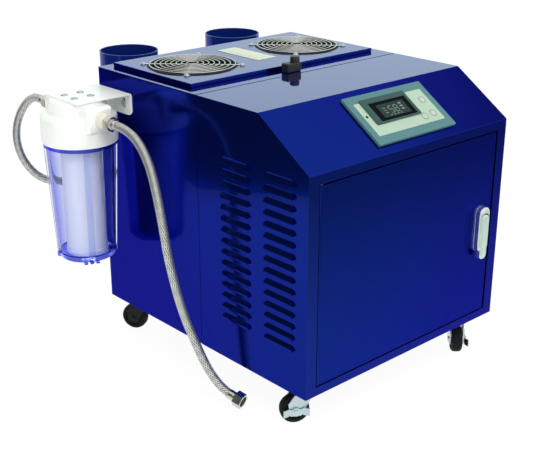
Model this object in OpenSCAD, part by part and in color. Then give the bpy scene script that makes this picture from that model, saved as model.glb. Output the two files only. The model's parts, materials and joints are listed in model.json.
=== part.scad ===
// Ultrasonic fog humidifier cabinet on castors, with a side-mounted water filter.
// Millimetres. The front faces -Y, the filter hangs on the -X side, +Z is up and the floor is z = 0.

/* [Cabinet] */
// Width of the cabinet
body_w = 480; // [460:5:540]
// Depth of the cabinet
body_d = 540; // [530:5:600]
// Height from the underside to the flat top
body_h = 446; // [440:2:480]
// Height of the upright front face
front_h = 372; // [366:1:384]
// Length of the slope in plan
slope_run = 112; // [108:1:124]
// Depth of the front section, up to the seam
front_d = 260; // [250:1:268]
// Sheet metal thickness
sheet = 1.5; // [1:0.1:2]
// Height of the lip round the base pan
pan_lip = 8; // [6:1:8]

/* [Louvres] */
// Hoods in one column
louvre_rows = 15; // [8:1:16]
// Length of a hood
louvre_l = 65; // [50:1:72]
// Height of a hood
louvre_hgt = 10; // [8:0.5:12]
// How far a hood stands out of the panel
louvre_out = 4.5; // [3:0.5:6]
// Distance from hood to hood
louvre_pitch = 19.5; // [15:0.5:20]
// Lower edge of the lowest hood above the underside
louvre_low = 76; // [60:1:90]
// Front column, from the front face to the hoods
louvre_front = 30; // [20:1:36]
// Space between the two columns
louvre_space = 38; // [30:1:44]

/* [Fan lid] */
// Width of the lid
lid_w = 436; // [430:1:440]
// Depth of the lid
lid_d = 223; // [212:1:226]
// Height of the lid above the top
lid_h = 7; // [5:0.5:10]
// Space from the lid to the rear edge
lid_rear = 17; // [15:1:24]
// Width that the lid overlaps the top frame
lid_lap = 14; // [8:1:16]
// Side of the square fan
fan_size = 150; // [144:1:156]
// Height of the fan frame
fan_depth = 50; // [46:1:56]
// Bore of the fan
fan_bore = 146; // [138:1:146]
// Distance between the two fan axes
fan_pitch = 254; // [240:1:258]
// Distance between the fan's screw holes
fan_hole_pitch = 124; // [118:1:128]
// Outer diameter of the wire guard
guard_d = 154; // [148:1:156]
// Rings of the wire guard
guard_rings = 7; // [4:1:8]
// Distance from ring to ring
guard_pitch = 9.6; // [7:0.1:9.8]
// Thickness of the guard wire
guard_wire = 2.4; // [2:0.1:3]
// Blades on a fan
fan_blades = 7; // [3:1:9]

/* [Fog outlets] */
// Outer diameter of an outlet pipe
fog_od = 110; // [100:1:112]
// Wall of an outlet pipe
fog_wall = 2.5; // [1.5:0.5:4]
// Distance between the two outlet axes
fog_pitch = 256; // [240:1:264]
// Bend radius on the pipe's centre line
fog_bend = 60; // [58:1:72]
// Straight stretch under the rim
fog_straight = 58; // [40:1:66]
// Height of the rim above the cabinet top
fog_rise = 5; // [0:1:20]

/* [Control panel] */
// Width of the panel bezel
panel_w = 188; // [184:1:200]
// Height of the panel bezel
panel_h = 103; // [100:1:108]
// Thickness of the panel bezel
panel_t = 5; // [4:0.5:6]
// Sideways place of the panel from the middle
panel_x = 18; // [0:1:24]
// Middle of the panel, down the slope from its top edge
panel_down = 67; // [64:1:70]
// Width that the bezel overlaps its cutout
panel_lap = 16; // [14:1:18]
// Width of the key overlay
overlay_w = 162; // [160:1:168]
// Height of the key overlay
overlay_h = 71; // [70:1:76]
// Diameter of a button
button_d = 11; // [9:0.5:12]
// Travel of a button
button_travel = 0.8; // [0.5:0.1:1]
// Depth of the circuit board behind the bezel
board_drop = 12; // [10:1:16]

/* [Door] */
// Frame beside the door
frame_side = 22; // [18:1:26]
// Frame above the door
frame_top = 17; // [14:1:20]
// Frame below the door
frame_low = 15; // [12:1:18]
// Gap round the door
door_gap = 2.5; // [2.2:0.1:3]
// Depth of the folded door edge
door_t = 16; // [14:1:18]
// Radius on the door's upright front edges
door_edge_r = 4; // [3.6:0.1:5]
// Diameter of the hinge pins
hinge_pin_d = 6; // [5:0.5:7]
// Hinge axis from the door's edge and face
hinge_inset = 8; // [8:0.5:9]

/* [Handle] */
// Handle axis from the door's free edge
handle_in = 38; // [34:1:44]
// Lever pivot above the underside
handle_z = 208; // [190:1:220]
// Width of the handle base
handle_w = 27; // [24:1:30]
// Height of the handle base
handle_base_h = 84; // [76:1:86]
// Length of the lever below its pivot
lever_l = 78; // [70:1:84]
// Thickness of the handle base
handle_base_t = 6; // [5:0.5:8]

/* [Castors] */
// Overall castor height
castor_h = 72; // [70:1:80]
// Wheel diameter
wheel_d = 50; // [46:1:52]
// Wheel width
wheel_w = 20; // [18:1:22]
// Trail of the wheel behind the swivel axis
castor_trail = 20; // [16:1:22]
// Castor axis from the cabinet's sides
castor_inset = 45; // [42:1:50]
// Axle diameter
axle_d = 8; // [6:0.5:10]

/* [Filter] */
// Filter axis from the cabinet's side
filter_out = 78; // [76:1:90]
// Filter axis from the cabinet's rear edge
filter_rear = 52; // [50:1:60]
// Top of the bracket below the cabinet top
filter_drop = 30; // [20:1:40]
// Outer diameter of the head skirt
head_d = 132; // [128:1:136]
// Height of the head skirt
skirt_h = 50; // [44:1:54]
// Diameter of the head's upper part
cap_d = 102; // [98:1:108]
// Height of the head's upper part
cap_h = 25; // [22:1:30]
// Port axis above the lower edge of the head
port_z = 48; // [46:1:50]
// Outer diameter of the sump at its collar
sump_d = 120; // [114:1:120]
// Outer diameter of the sump at its foot
sump_foot_d = 102; // [96:1:106]
// Length of the sump below the head
sump_l = 214; // [200:1:240]
// Wall of the sump
sump_wall = 4; // [3:0.5:5]
// Diameter of the filter cartridge
cartridge_d = 68; // [60:1:74]
// Width of the bracket
bracket_w = 100; // [96:1:104]
// Height of the bracket's flange
bracket_h = 40; // [36:1:44]
// Thickness of the bracket
bracket_t = 3; // [2:0.5:4]

/* [Inside] */
// Height of the water tank
tank_h = 180; // [160:1:200]
// Wall of the water tank
tank_wall = 1.5; // [1:0.1:2]
// Space round the water tank
tank_space = 8; // [6:1:12]
// Transducer heads in one row
mist_heads = 5; // [3:1:5]
// Length of the power supply
psu_l = 200; // [160:1:220]
// Diameter of the float
float_d = 50; // [40:1:54]
// Lower face of the inlet valve below the tank's rim
valve_drop = 70; // [62:1:80]

/* [Hidden] */
$fn = 64;

// Colours
navy = [0.06, 0.10, 0.36];
steel = [0.78, 0.79, 0.80];
zinc = [0.66, 0.68, 0.70];
dark = [0.08, 0.08, 0.09];
white_plastic = [0.93, 0.94, 0.93];
cream = [0.86, 0.85, 0.77];
bezel_grey = [0.36, 0.44, 0.47];
clear_blue = [0.45, 0.55, 0.90];

// Running clearance of a shaft in its hole, and clearance of parts that pass each other
run_fit = 0.06;
pass_fit = 0.3;

// Planes of the cabinet
x_left = -body_w / 2;
x_right = body_w / 2;
y_front = -body_d / 2;
y_back = body_d / 2;
y_seam = y_front + front_d;
y_crest = y_front + slope_run;
z_base = castor_h;
z_floor_in = z_base + sheet;
z_top = z_base + body_h;
z_brow = z_base + front_h;
slope_a = atan((body_h - front_h) / slope_run);
hood_drop = sheet / cos(slope_a);
y_under = y_crest + sheet * tan(slope_a / 2);
inner_w = body_w - 2 * sheet;

// Louvre hood: a cylinder whose axis lies behind the panel face
louvre_r = (louvre_hgt * louvre_hgt / louvre_out + louvre_out) / 2;
louvre_axis_in = louvre_r - louvre_out;
louvre_corner = 7;

// Fan lid and fans
y_lid_back = y_back - lid_rear;
y_lid_mid = y_lid_back - lid_d / 2;
z_lid = z_top + lid_h;
z_fan = z_lid - sheet - fan_depth;
fan_post = 12;
fan_tip_gap = 2.5;
fan_hub_d = 60;
fan_shaft_d = 6;
screw_d = 4;
screw_head_d = 8;
screw_head_h = 2.4;
foot_d = 11;

// Fog outlets
fog_flange_t = 3;
fog_flange_lap = 8;
y_fog = y_back + fog_bend + fog_flange_t;
z_fog_rim = z_top + fog_rise;
z_fog_bend = z_fog_rim - fog_straight;
z_fog_in = z_fog_bend - fog_bend;

// Control panel stack, heights above the slope
overlay_t = 1.2;
display_w = 107;
display_h = 54;
display_t = 2.4;
window_w = 87;
window_h = 39.5;
window_t = 1.2;
display_x = -14;
display_y = 12;
window_dx = 3;
window_dy = -3.5;
board_t = 1.6;
post_d = 7;
button_gap = 0.35;
button_proud = 0.9;
button_power_at = [66, 12];
button_up_at = [65, -19];
button_down_at = [42, -21];

// Door
door_w = body_w - 2 * frame_side - 2 * door_gap;
door_h = front_h - frame_top - frame_low - 2 * door_gap;
x_door = x_left + frame_side + door_gap;
z_door = z_base + frame_low + door_gap;
x_hinge = x_door + hinge_inset;
y_hinge = y_front + hinge_inset;
frame_return = door_t + 4;
hinge_boss_h = 10;
hinge_head_h = 2;

// Handle
x_handle = x_door + door_w - handle_in;
z_handle = z_base + handle_z;
y_handle = y_front - handle_base_t;
spindle_d = 9.6;
lug_w = 9;
lug_r = 4.6;
lever_w = 21;
lever_gap = 0.6;
lever_r = 5.4;
lever_pin_d = 4;
y_lever_pin = y_handle - lever_gap - lever_r;
lever_cover = 1.8;
lever_nose = 9;
cam_w = 16;
cam_t = 3;
cam_gap = 1;
cam_hold = 6;
cam_l = cam_w / 2 + handle_in + door_gap + sheet + cam_hold;

// Castors: front left, front right, rear left, rear right
castor_at = [for (y = [y_front + castor_inset, y_back - castor_inset]) for (x = [-1, 1])
    [x * (body_w / 2 - castor_inset), y]];
castor_turn = [150, 228, 120, 75];
castor_plate_t = 3;
castor_plate_w = 58;
race_d = 34;
race_h = 3;
king_d = 10;
king_head_d = 16;
king_head_h = 3;
fork_top_t = 4;
fork_leg_t = 2.5;
wheel_side_gap = 0.8;
swivel_gap = 0.3;
z_race = z_base - castor_plate_t - race_h;
z_fork_top = z_race - swivel_gap;
z_fork_under = z_fork_top - fork_top_t;
wheel_r = wheel_d / 2;
fork_half = wheel_w / 2 + wheel_side_gap + fork_leg_t;
brake_t = 3;
axle_end = 2;

// Filter
x_filter = x_left - filter_out;
y_filter = y_back - filter_rear;
z_bracket = z_top - filter_drop;
z_head_top = z_bracket - bracket_t;
z_head = z_head_top - cap_h - skirt_h;
z_port = z_head + port_z;
head_wall = 4;
neck_gap = 0.4;
neck_h = 22;
collar_h = 7;
seal_r = 1.6;
sump_foot_h = 8;
z_sump = z_head - sump_l;
port_r = 17;
port_reach = head_d / 2 + 6;
port_bore_d = 18;
adapter_d = 24;
adapter_l = 18;
nut_af = 24;
nut_l = 14;
sleeve_d = 17;
sleeve_l = 14;
slot_w = 7;
slot_l = 18;
slot_in = 20;
bolt_d = 6;
bolt_head_d = 12;
bolt_head_h = 3;
bolt_spread = 30;
y_port_end = port_reach + adapter_l + nut_l + sleeve_l;

// Inside
z_tank = z_floor_in;
y_bulkhead = y_seam + 6;
y_tank = y_bulkhead + sheet + tank_space;
tank_d = y_back - sheet - tank_space - y_tank;
tank_w = inner_w - 2 * tank_space;
z_tank_in = z_tank + tank_wall;
mist_w = 210;
mist_d = 90;
mist_t = 26;
head_cell_d = 30;
valve_side = 60.5;
valve_x = valve_side - tank_w / 2;
valve_body = [26, 30, 30];
z_valve = z_tank + tank_h - valve_drop;
ear_t = 4;
ear_rise = 6;
float_pin_out = 7;
y_float_pin = y_tank + tank_wall + valve_body[1] + float_pin_out;
float_pin_d = 4;
float_arm_l = 82;
float_arm_t = 6;

// Fittings on the rear panel
inlet_side = 19;
inlet_rise = 237;
inlet_at = [x_left + inlet_side, z_base + inlet_rise];
inlet_d = 20;
inlet_l = 8;
gland_side = 60;
gland_rise = 68;
gland_at = [x_right - gland_side, z_base + gland_rise];
gland_d = 22;
gland_bore_d = 10;
gland_l = 24;
drain_side = 120;
drain_rise = 16;
drain_at = [x_right - drain_side, z_base + drain_rise];
drain_d = 20;
drain_wall = 2.5;
drain_l = 34;

// Humidity sensor on the strip in front of the lid
sensor_l = 33;
sensor_w = 18;
sensor_h = 16;
sensor_cap_d = 17;
sensor_cap_h = 10;
sensor_x = -11;
sensor_in = 20;
y_sensor = y_seam + sensor_in;

// Hoses: points of their centre lines, chosen by hand
hose_d = 15;
hose_sides = 12;
supply_route = [[-318, 100, 458], [-318, 78, 456], [-318, 55, 449], [-318, 35, 435], [-318, 20, 417],
    [-318, 9, 396], [-318, 0, 370], [-317, -7, 340], [-315, -12, 306], [-313, -18, 266], [-309, -25, 226],
    [-305, -34, 187], [-299, -45, 148], [-291, -58, 110], [-284, -69, 80], [-277, -82, 55], [-270, -96, 37],
    [-264, -112, 26]];
supply_end_dir = [5, -18, -5];
feed_route = [[-318, 336, 458], [-318, 358.7, 458], [-319.1, 379.6, 450.6], [-321.7, 397.1, 436.7],
    [-325.3, 410.1, 418.4], [-328.6, 418.5, 397.5], [-330, 422.3, 375.1], [-328.3, 421.9, 352.4],
    [-323.1, 418.1, 330.4], [-314.1, 411.7, 310.4], [-301.3, 403.1, 294.1], [-284.5, 392.8, 284],
    [-266, 381.2, 281], [-248.7, 368.2, 285.2], [-234.7, 353, 293.9], [-225.4, 335.2, 303.2],
    [-221, 314.5, 309], [-221, 292, 309]];

// The whole part stands with the middle of its plan over the origin
handle_reach = handle_base_t + lever_gap + 2 * lever_r + lever_cover;
part_x = ((x_filter - head_d / 2) + (x_right + louvre_out)) / 2;
part_y = ((y_front - handle_reach) + (y_fog + fog_od / 2)) / 2;

module place() {
    translate([-part_x, -part_y, 0]) children();
}

// Rectangle with round corners
module round_rect(w, h, r) {
    square([w - 2 * r, h], center = true);
    square([w, h - 2 * r], center = true);
    for (x = [-1, 1], y = [-1, 1]) translate([x * (w / 2 - r), y * (h / 2 - r)]) circle(r);
}

// Extrudes a Y-Z outline along X from x
module slab_x(x, t) {
    translate([x, 0, 0]) rotate([90, 0, 90]) linear_extrude(t) children();
}

// Extrudes an X-Z outline along +Y from y
module slab_y(y, t) {
    translate([0, y + t, 0]) rotate([90, 0, 0]) linear_extrude(t) children();
}

// Cylinder along +Y from y
module rod_y(x, y, z, d, l) {
    translate([x, y, z]) rotate([-90, 0, 0]) cylinder(d = d, h = l);
}

// Hexagon along +Y from y, flats up and down
module hex_y(x, y, z, af, l) {
    translate([x, y, z]) rotate([-90, 0, 0]) cylinder(d = af / cos(30), h = l, $fn = 6);
}

// Frame on the slope: x to the right, y up the slope, z out of it, at the middle of the panel
module on_panel() {
    translate([panel_x, y_crest, z_top]) rotate([slope_a, 0, 0]) translate([0, -panel_down, 0]) children();
}

// Cabinet

module base_pan() {
    color(navy) place() difference() {
        translate([-inner_w / 2, y_front + sheet, z_base])
            cube([inner_w, body_d - 2 * sheet, pan_lip]);
        translate([-inner_w / 2 + sheet, y_front + 2 * sheet, z_floor_in])
            cube([inner_w - 2 * sheet, body_d - 4 * sheet, pan_lip]);
        rod_y(drain_at[0], y_back - 3 * sheet, drain_at[1], drain_d + 2 * pass_fit, 3 * sheet);
    }
}

module front_frame() {
    hole_w = door_w + 2 * door_gap;
    hole_h = door_h + 2 * door_gap;
    z_hole = z_door - door_gap;
    color(navy) place() difference() {
        union() {
            translate([x_left, y_front, z_base]) cube([body_w, sheet, front_h - hood_drop]);
            translate([x_left + frame_side - sheet, y_front, z_hole - sheet])
                cube([hole_w + 2 * sheet, frame_return, hole_h + 2 * sheet]);
        }
        translate([x_left + frame_side, y_front - sheet, z_hole])
            cube([hole_w, frame_return + 2 * sheet, hole_h]);
        translate([x_hinge, y_hinge, z_hole - 2 * sheet])
            cylinder(d = hinge_pin_d + 2 * run_fit, h = hole_h + 4 * sheet);
    }
}

module hood_panel() {
    color(navy) place() difference() {
        slab_x(x_left, body_w) polygon([[y_front, z_brow], [y_crest, z_top], [y_seam, z_top],
            [y_seam, z_top - sheet], [y_under, z_top - sheet], [y_front, z_brow - hood_drop]]);
        on_panel() cube([panel_w - 2 * panel_lap, panel_h - 2 * panel_lap, 8 * sheet], center = true);
    }
}

// Plan of a louvre hood in the panel, with its open edge at the bottom and round upper corners
module louvre_plan(l, h, r) {
    translate([0, h / 2]) square([l - 2 * r, h], center = true);
    translate([0, (h - r) / 2]) square([l, h - r], center = true);
    for (s = [-1, 1]) translate([s * (l / 2 - r), h - r]) circle(r, $fn = 32);
}

// Bulge of a hood: part of a cylinder along the panel, above its open edge
module louvre_bulge(r, l) {
    intersection() {
        translate([-louvre_axis_in, 0, 0]) rotate([90, 0, 0])
            cylinder(r = r, h = l, center = true);
        translate([-sheet / 2, -l / 2, 0]) cube([louvre_out + sheet, l, louvre_hgt]);
    }
}

// One hood on a panel whose outer face is x = 0 and faces +X
module louvre_hood() {
    difference() {
        intersection() {
            louvre_bulge(louvre_r, louvre_l);
            slab_x(-sheet, louvre_out + 2 * sheet) louvre_plan(louvre_l, louvre_hgt, louvre_corner);
        }
        louvre_hollow();
    }
}

// Space under a hood, open at the bottom and through the panel
module louvre_hollow() {
    intersection() {
        louvre_bulge(louvre_r - sheet, louvre_l);
        slab_x(-2 * sheet, louvre_out + 4 * sheet) louvre_slot();
    }
}

module louvre_slot() {
    louvre_plan(louvre_l - 2 * sheet, louvre_hgt - sheet, louvre_corner - sheet);
}

module louvre_panel() {
    y_start = y_front + sheet;
    z_start = z_brow - hood_drop + sheet * tan(slope_a);
    y_cols = [for (k = [0, 1]) y_front + louvre_front + louvre_l / 2 + k * (louvre_l + louvre_space)];
    z_rows = [for (i = [0 : louvre_rows - 1]) z_base + louvre_low + i * louvre_pitch];
    difference() {
        slab_x(-sheet, sheet) polygon([[y_start, z_base], [y_seam, z_base], [y_seam, z_top - sheet],
            [y_under, z_top - sheet], [y_start, z_start]]);
        for (y = y_cols, z = z_rows) translate([0, y, z]) slab_x(-2 * sheet, 4 * sheet) louvre_slot();
    }
    for (y = y_cols, z = z_rows) translate([0, y, z]) louvre_hood();
}

module left_louvre_panel() {
    color(navy) place() translate([x_left, 0, 0]) mirror([1, 0, 0]) louvre_panel();
}

module right_louvre_panel() {
    color(navy) place() translate([x_right, 0, 0]) louvre_panel();
}

module rear_casing() {
    color(navy) place() difference() {
        translate([x_left, y_seam, z_base]) cube([body_w, y_back - y_seam, body_h - sheet]);
        translate([-inner_w / 2, y_seam - sheet, z_base - sheet])
            cube([inner_w, y_back - y_seam, body_h + sheet]);
        for (s = [-1, 1]) rod_y(s * fog_pitch / 2, y_back - 2 * sheet, z_fog_in, fog_od - 2 * fog_wall, 3 * sheet);
        rod_y(inlet_at[0], y_back - 2 * sheet, inlet_at[1], inlet_d + 2 * run_fit, 3 * sheet);
        rod_y(gland_at[0], y_back - 2 * sheet, gland_at[1], gland_d + 2 * run_fit, 3 * sheet);
        rod_y(drain_at[0], y_back - 2 * sheet, drain_at[1], drain_d + 2 * run_fit, 3 * sheet);
        for (s = [-1, 1]) rod_bolt(s) circle(d = bolt_d + 2 * run_fit);
    }
}

module top_frame() {
    color(navy) place() difference() {
        translate([x_left, y_seam, z_top - sheet]) cube([body_w, y_back - y_seam, sheet]);
        translate([-lid_w / 2 + lid_lap, y_lid_back - lid_d + lid_lap, z_top - 2 * sheet])
            cube([lid_w - 2 * lid_lap, lid_d - 2 * lid_lap, 3 * sheet]);
    }
}

module at_fans() {
    for (s = [-1, 1]) translate([s * fan_pitch / 2, y_lid_mid, 0]) children();
}

module at_fan_holes() {
    for (x = [-1, 1], y = [-1, 1]) translate([x * fan_hole_pitch / 2, y * fan_hole_pitch / 2, 0]) children();
}

module fan_lid() {
    color(navy) place() difference() {
        translate([-lid_w / 2, y_lid_back - lid_d, z_top]) cube([lid_w, lid_d, lid_h]);
        translate([-lid_w / 2 + sheet, y_lid_back - lid_d + sheet, z_top - sheet])
            cube([lid_w - 2 * sheet, lid_d - 2 * sheet, lid_h]);
        at_fans() {
            translate([0, 0, z_top]) cylinder(d = fan_bore, h = 2 * lid_h);
            at_fan_holes() translate([0, 0, z_top]) cylinder(d = screw_d + 2 * run_fit, h = 2 * lid_h);
        }
    }
}

module bulkhead() {
    color(steel) place() translate([-inner_w / 2 + sheet, y_bulkhead, z_floor_in])
        cube([inner_w - 2 * sheet, sheet, z_top - sheet - z_floor_in]);
}

// Fog outlet: flange on the rear panel, quarter bend and upright spigot
module fog_outlet(s) {
    r = fog_od / 2;
    color(navy) place() translate([s * fog_pitch / 2, 0, 0]) {
        difference() {
            rod_y(0, y_back, z_fog_in, fog_od + 2 * fog_flange_lap, fog_flange_t);
            rod_y(0, y_back - fog_flange_t, z_fog_in, fog_od - 2 * fog_wall, 3 * fog_flange_t);
        }
        translate([0, y_back + fog_flange_t, z_fog_bend]) rotate([0, 90, 0])
            rotate_extrude(angle = 90) translate([fog_bend, 0]) difference() {
                circle(r);
                circle(r - fog_wall);
            }
        translate([0, y_fog, z_fog_bend]) difference() {
            cylinder(r = r, h = fog_straight);
            translate([0, 0, -fog_wall]) cylinder(r = r - fog_wall, h = fog_straight + 2 * fog_wall);
        }
    }
}

module fog_outlet_left() { fog_outlet(-1); }

module fog_outlet_right() { fog_outlet(1); }

// Fans

// Wire guard: rings on two crossed bars that end in screw feet
module fan_guard() {
    reach = fan_hole_pitch / sqrt(2);
    difference() {
        union() {
            for (i = [0 : guard_rings - 1]) translate([0, 0, guard_wire * 0.8])
                ring(guard_d / 2 - i * guard_pitch, guard_wire, guard_wire);
            for (a = [45, 135]) rotate([0, 0, a]) translate([-reach, -guard_wire / 2, 0])
                cube([2 * reach, guard_wire, guard_wire]);
            at_fan_holes() cylinder(d = foot_d, h = guard_wire);
        }
        at_fan_holes() translate([0, 0, -1]) cylinder(d = screw_d + 2 * run_fit, h = 3 * guard_wire);
    }
}

// Flat ring of outer radius r, width w and height h
module ring(r, w, h) {
    difference() {
        cylinder(r = r, h = h);
        translate([0, 0, -h]) cylinder(r = r - w, h = 3 * h);
    }
}

module fan_guards() {
    color(steel) place() at_fans() translate([0, 0, z_lid]) fan_guard();
}

module fan_screws() {
    shank = guard_wire + sheet + fan_post;
    color(zinc) place() at_fans() at_fan_holes() translate([0, 0, z_lid + guard_wire]) {
        cylinder(d = screw_head_d, h = screw_head_h);
        translate([0, 0, -shank]) cylinder(d = screw_d, h = shank + screw_head_h / 2);
    }
}

module fan_frame() {
    strut_w = 8;
    strut_h = 6;
    difference() {
        union() {
            difference() {
                translate([-fan_size / 2, -fan_size / 2, 0]) cube([fan_size, fan_size, fan_depth]);
                translate([0, 0, -1]) cylinder(d = fan_bore, h = fan_depth + 2);
            }
            cylinder(d = fan_hub_d, h = fan_post);
            for (a = [0, 90]) rotate([0, 0, a]) translate([-fan_size / 2 + 1, -strut_w / 2, 0])
                cube([fan_size - 2, strut_w, strut_h]);
        }
        translate([0, 0, 2]) cylinder(d = fan_shaft_d + 2 * run_fit, h = fan_depth);
        at_fan_holes() translate([0, 0, fan_depth / 2]) cylinder(d = screw_d + 2 * run_fit, h = fan_depth);
    }
}

module fan_frames() {
    color(dark) place() at_fans() translate([0, 0, z_fan]) fan_frame();
}

module fan_rotor(s) {
    z_hub = fan_post + pass_fit;
    hub_h = fan_depth - z_hub - 5;
    blade_t = 2.5;
    blade_chord = 36;
    blade_pitch = 35;
    color(dark) place() translate([s * fan_pitch / 2, y_lid_mid, z_fan]) {
        translate([0, 0, z_hub]) cylinder(d = fan_hub_d, h = hub_h);
        translate([0, 0, 4]) cylinder(d = fan_shaft_d, h = z_hub);
        intersection() {
            cylinder(r = fan_bore / 2 - fan_tip_gap, h = fan_depth);
            for (i = [0 : fan_blades - 1]) rotate([0, 0, i * 360 / fan_blades])
                translate([fan_hub_d / 2 - 4, 0, z_hub + hub_h / 2]) rotate([blade_pitch, 0, 0])
                    translate([0, -blade_chord / 2, -blade_t / 2]) cube([fan_bore, blade_chord, blade_t]);
        }
    }
}

module fan_rotor_left() { fan_rotor(-1); }

module fan_rotor_right() { fan_rotor(1); }

module humidity_sensor() {
    color(dark) place() translate([sensor_x, y_sensor, z_top]) {
        linear_extrude(sensor_h) round_rect(sensor_l, sensor_w, 4);
        translate([sensor_l / 2 - sensor_cap_d / 2, 0, 0]) cylinder(d = sensor_cap_d, h = sensor_h + sensor_cap_h);
    }
}

// Control panel

module button_holes() {
    for (p = [button_power_at, button_up_at, button_down_at]) translate(p)
        translate([0, 0, -panel_t]) cylinder(d = button_d + 2 * button_gap, h = 3 * panel_t);
}

module panel_bezel() {
    color(bezel_grey) place() on_panel() {
        difference() {
            linear_extrude(panel_t) round_rect(panel_w, panel_h, 5);
            translate([-overlay_w / 2, -overlay_h / 2, panel_t - overlay_t]) cube([overlay_w, overlay_h, panel_t]);
            button_holes();
        }
        for (x = [-1, 1], y = [-1, 1])
            translate([x * (panel_w / 2 - panel_lap - post_d), y * (panel_h / 2 - panel_lap - post_d), -board_drop])
                cylinder(d = post_d, h = board_drop + 1);
    }
}

module panel_overlay() {
    color(cream) place() on_panel() difference() {
        translate([-overlay_w / 2 + pass_fit / 2, -overlay_h / 2 + pass_fit / 2, panel_t - overlay_t])
            cube([overlay_w - pass_fit, overlay_h - pass_fit, overlay_t]);
        button_holes();
    }
}

module display_bezel() {
    color(dark) place() on_panel() translate([display_x, display_y, panel_t]) difference() {
        linear_extrude(display_t) round_rect(display_w, display_h, 3);
        translate([window_dx - window_w / 2, window_dy - window_h / 2, -1])
            cube([window_w, window_h, display_t + 2]);
    }
}

module display_window() {
    color("black") place() on_panel()
        translate([display_x + window_dx - (window_w - pass_fit) / 2,
            display_y + window_dy - (window_h - pass_fit) / 2, panel_t])
            cube([window_w - pass_fit, window_h - pass_fit, window_t]);
}

module button(at) {
    stem = board_drop - button_travel - 0.4;
    color(white_plastic) place() on_panel() translate([at[0], at[1], -stem])
        cylinder(d = button_d, h = stem + panel_t + button_proud);
}

module button_power() { button(button_power_at); }

module button_up() { button(button_up_at); }

module button_down() { button(button_down_at); }

module control_board() {
    w = panel_w - 2 * panel_lap;
    h = panel_h - 2 * panel_lap;
    color("darkgreen") place() on_panel() translate([-w / 2, -h / 2, -board_drop - board_t])
        cube([w, h, board_t]);
}

// Door

// Plan of the door with round upright front edges, inset by i
module door_plan(i) {
    r = door_edge_r - i;
    translate([x_door + i, y_front + door_edge_r]) square([door_w - 2 * i, door_t - door_edge_r]);
    translate([x_door + door_edge_r, y_front + i]) square([door_w - 2 * door_edge_r, door_t - i]);
    for (x = [x_door + door_edge_r, x_door + door_w - door_edge_r])
        translate([x, y_front + door_edge_r]) circle(r);
}

module door() {
    color(navy) place() difference() {
        union() {
            difference() {
                translate([0, 0, z_door]) linear_extrude(door_h) door_plan(0);
                translate([0, 0, z_door + sheet]) linear_extrude(door_h - 2 * sheet) door_plan(sheet);
                translate([x_door + sheet, y_front + door_t - sheet, z_door + sheet])
                    cube([door_w - 2 * sheet, 2 * sheet, door_h - 2 * sheet]);
            }
            for (z = [z_door, z_door + door_h - hinge_boss_h]) translate([x_hinge, y_hinge, z])
                cylinder(r = hinge_inset - 1.8, h = hinge_boss_h);
        }
        translate([x_hinge, y_hinge, z_door - 1]) cylinder(d = hinge_pin_d + 2 * run_fit, h = door_h + 2);
        rod_y(x_handle, y_front - sheet, z_handle, spindle_d + 2 * run_fit, 4 * sheet);
    }
}

module hinge_pins() {
    pin_l = door_gap + sheet + hinge_boss_h;
    z_low = z_door - door_gap - sheet;
    z_high = z_door + door_h + door_gap + sheet;
    color(zinc) place() translate([x_hinge, y_hinge, 0]) {
        translate([0, 0, z_low]) cylinder(d = hinge_pin_d, h = pin_l);
        translate([0, 0, z_low - hinge_head_h]) cylinder(d = 2 * hinge_pin_d - 1, h = hinge_head_h);
        translate([0, 0, z_high - pin_l]) cylinder(d = hinge_pin_d, h = pin_l);
        translate([0, 0, z_high]) cylinder(d = 2 * hinge_pin_d - 1, h = hinge_head_h);
    }
}

module handle_base() {
    above = handle_w / 2 + 5;
    color(zinc) place() difference() {
        slab_y(y_handle, handle_base_t) translate([x_handle, z_handle + above - handle_base_h / 2])
            round_rect(handle_w, handle_base_h, handle_w / 2 - 1);
        rod_y(x_handle, y_handle - 1, z_handle, spindle_d + 2 * run_fit, handle_base_t + 2);
    }
}

// Turning spindle: a lug in front for the lever pin, a shaft through the door and a cam behind it
module handle_spindle() {
    shaft_l = handle_base_t + frame_return + cam_gap + cam_t;
    root = 1.5;
    color(zinc) place() {
        difference() {
            union() {
                translate([x_handle - lug_w / 2, y_lever_pin, z_handle - lug_r])
                    cube([lug_w, y_handle - y_lever_pin - pass_fit, 2 * lug_r]);
                translate([x_handle - lug_w / 2, y_lever_pin, z_handle]) rotate([0, 90, 0])
                    cylinder(r = lug_r, h = lug_w);
                rod_y(x_handle, y_handle - root, z_handle, spindle_d, shaft_l + root);
            }
            translate([x_handle - lug_w, y_lever_pin, z_handle]) rotate([0, 90, 0])
                cylinder(d = lever_pin_d + 2 * run_fit, h = 2 * lug_w);
        }
        translate([x_handle - cam_w / 2, y_front + frame_return + cam_gap, z_handle - cam_w / 2])
            cube([cam_w, cam_t, cam_l]);
    }
}

// Lever: a round knuckle with a slot for the lug, a bar and a nose at its lower end
module handle_lever() {
    bar_t = 2 * lever_r + lever_cover;
    y_face = y_lever_pin - lever_r - lever_cover;
    slot = lug_w + 2 * pass_fit;
    slot_r = norm([lug_r, lever_r + lever_gap]) + 1.2;
    color(zinc) place() {
        difference() {
            union() {
                translate([x_handle - lever_w / 2, y_lever_pin, z_handle]) rotate([0, 90, 0])
                    cylinder(r = lever_r, h = lever_w);
                translate([x_handle - lever_w / 2, y_face, z_handle - lever_l + lever_nose])
                    cube([lever_w, bar_t, lever_l - lever_nose]);
                slab_y(y_face, bar_t) translate([x_handle, z_handle - lever_l / 2])
                    round_rect(lever_w, lever_l, lever_nose);
            }
            translate([x_handle - slot / 2, y_face + lever_cover, z_handle - slot_r])
                cube([slot, bar_t, slot_r + 2 * lever_r]);
        }
        translate([x_handle - slot / 2 - 1, y_lever_pin, z_handle]) rotate([0, 90, 0])
            cylinder(d = lever_pin_d, h = slot + 2);
    }
}

// Inside

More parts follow.
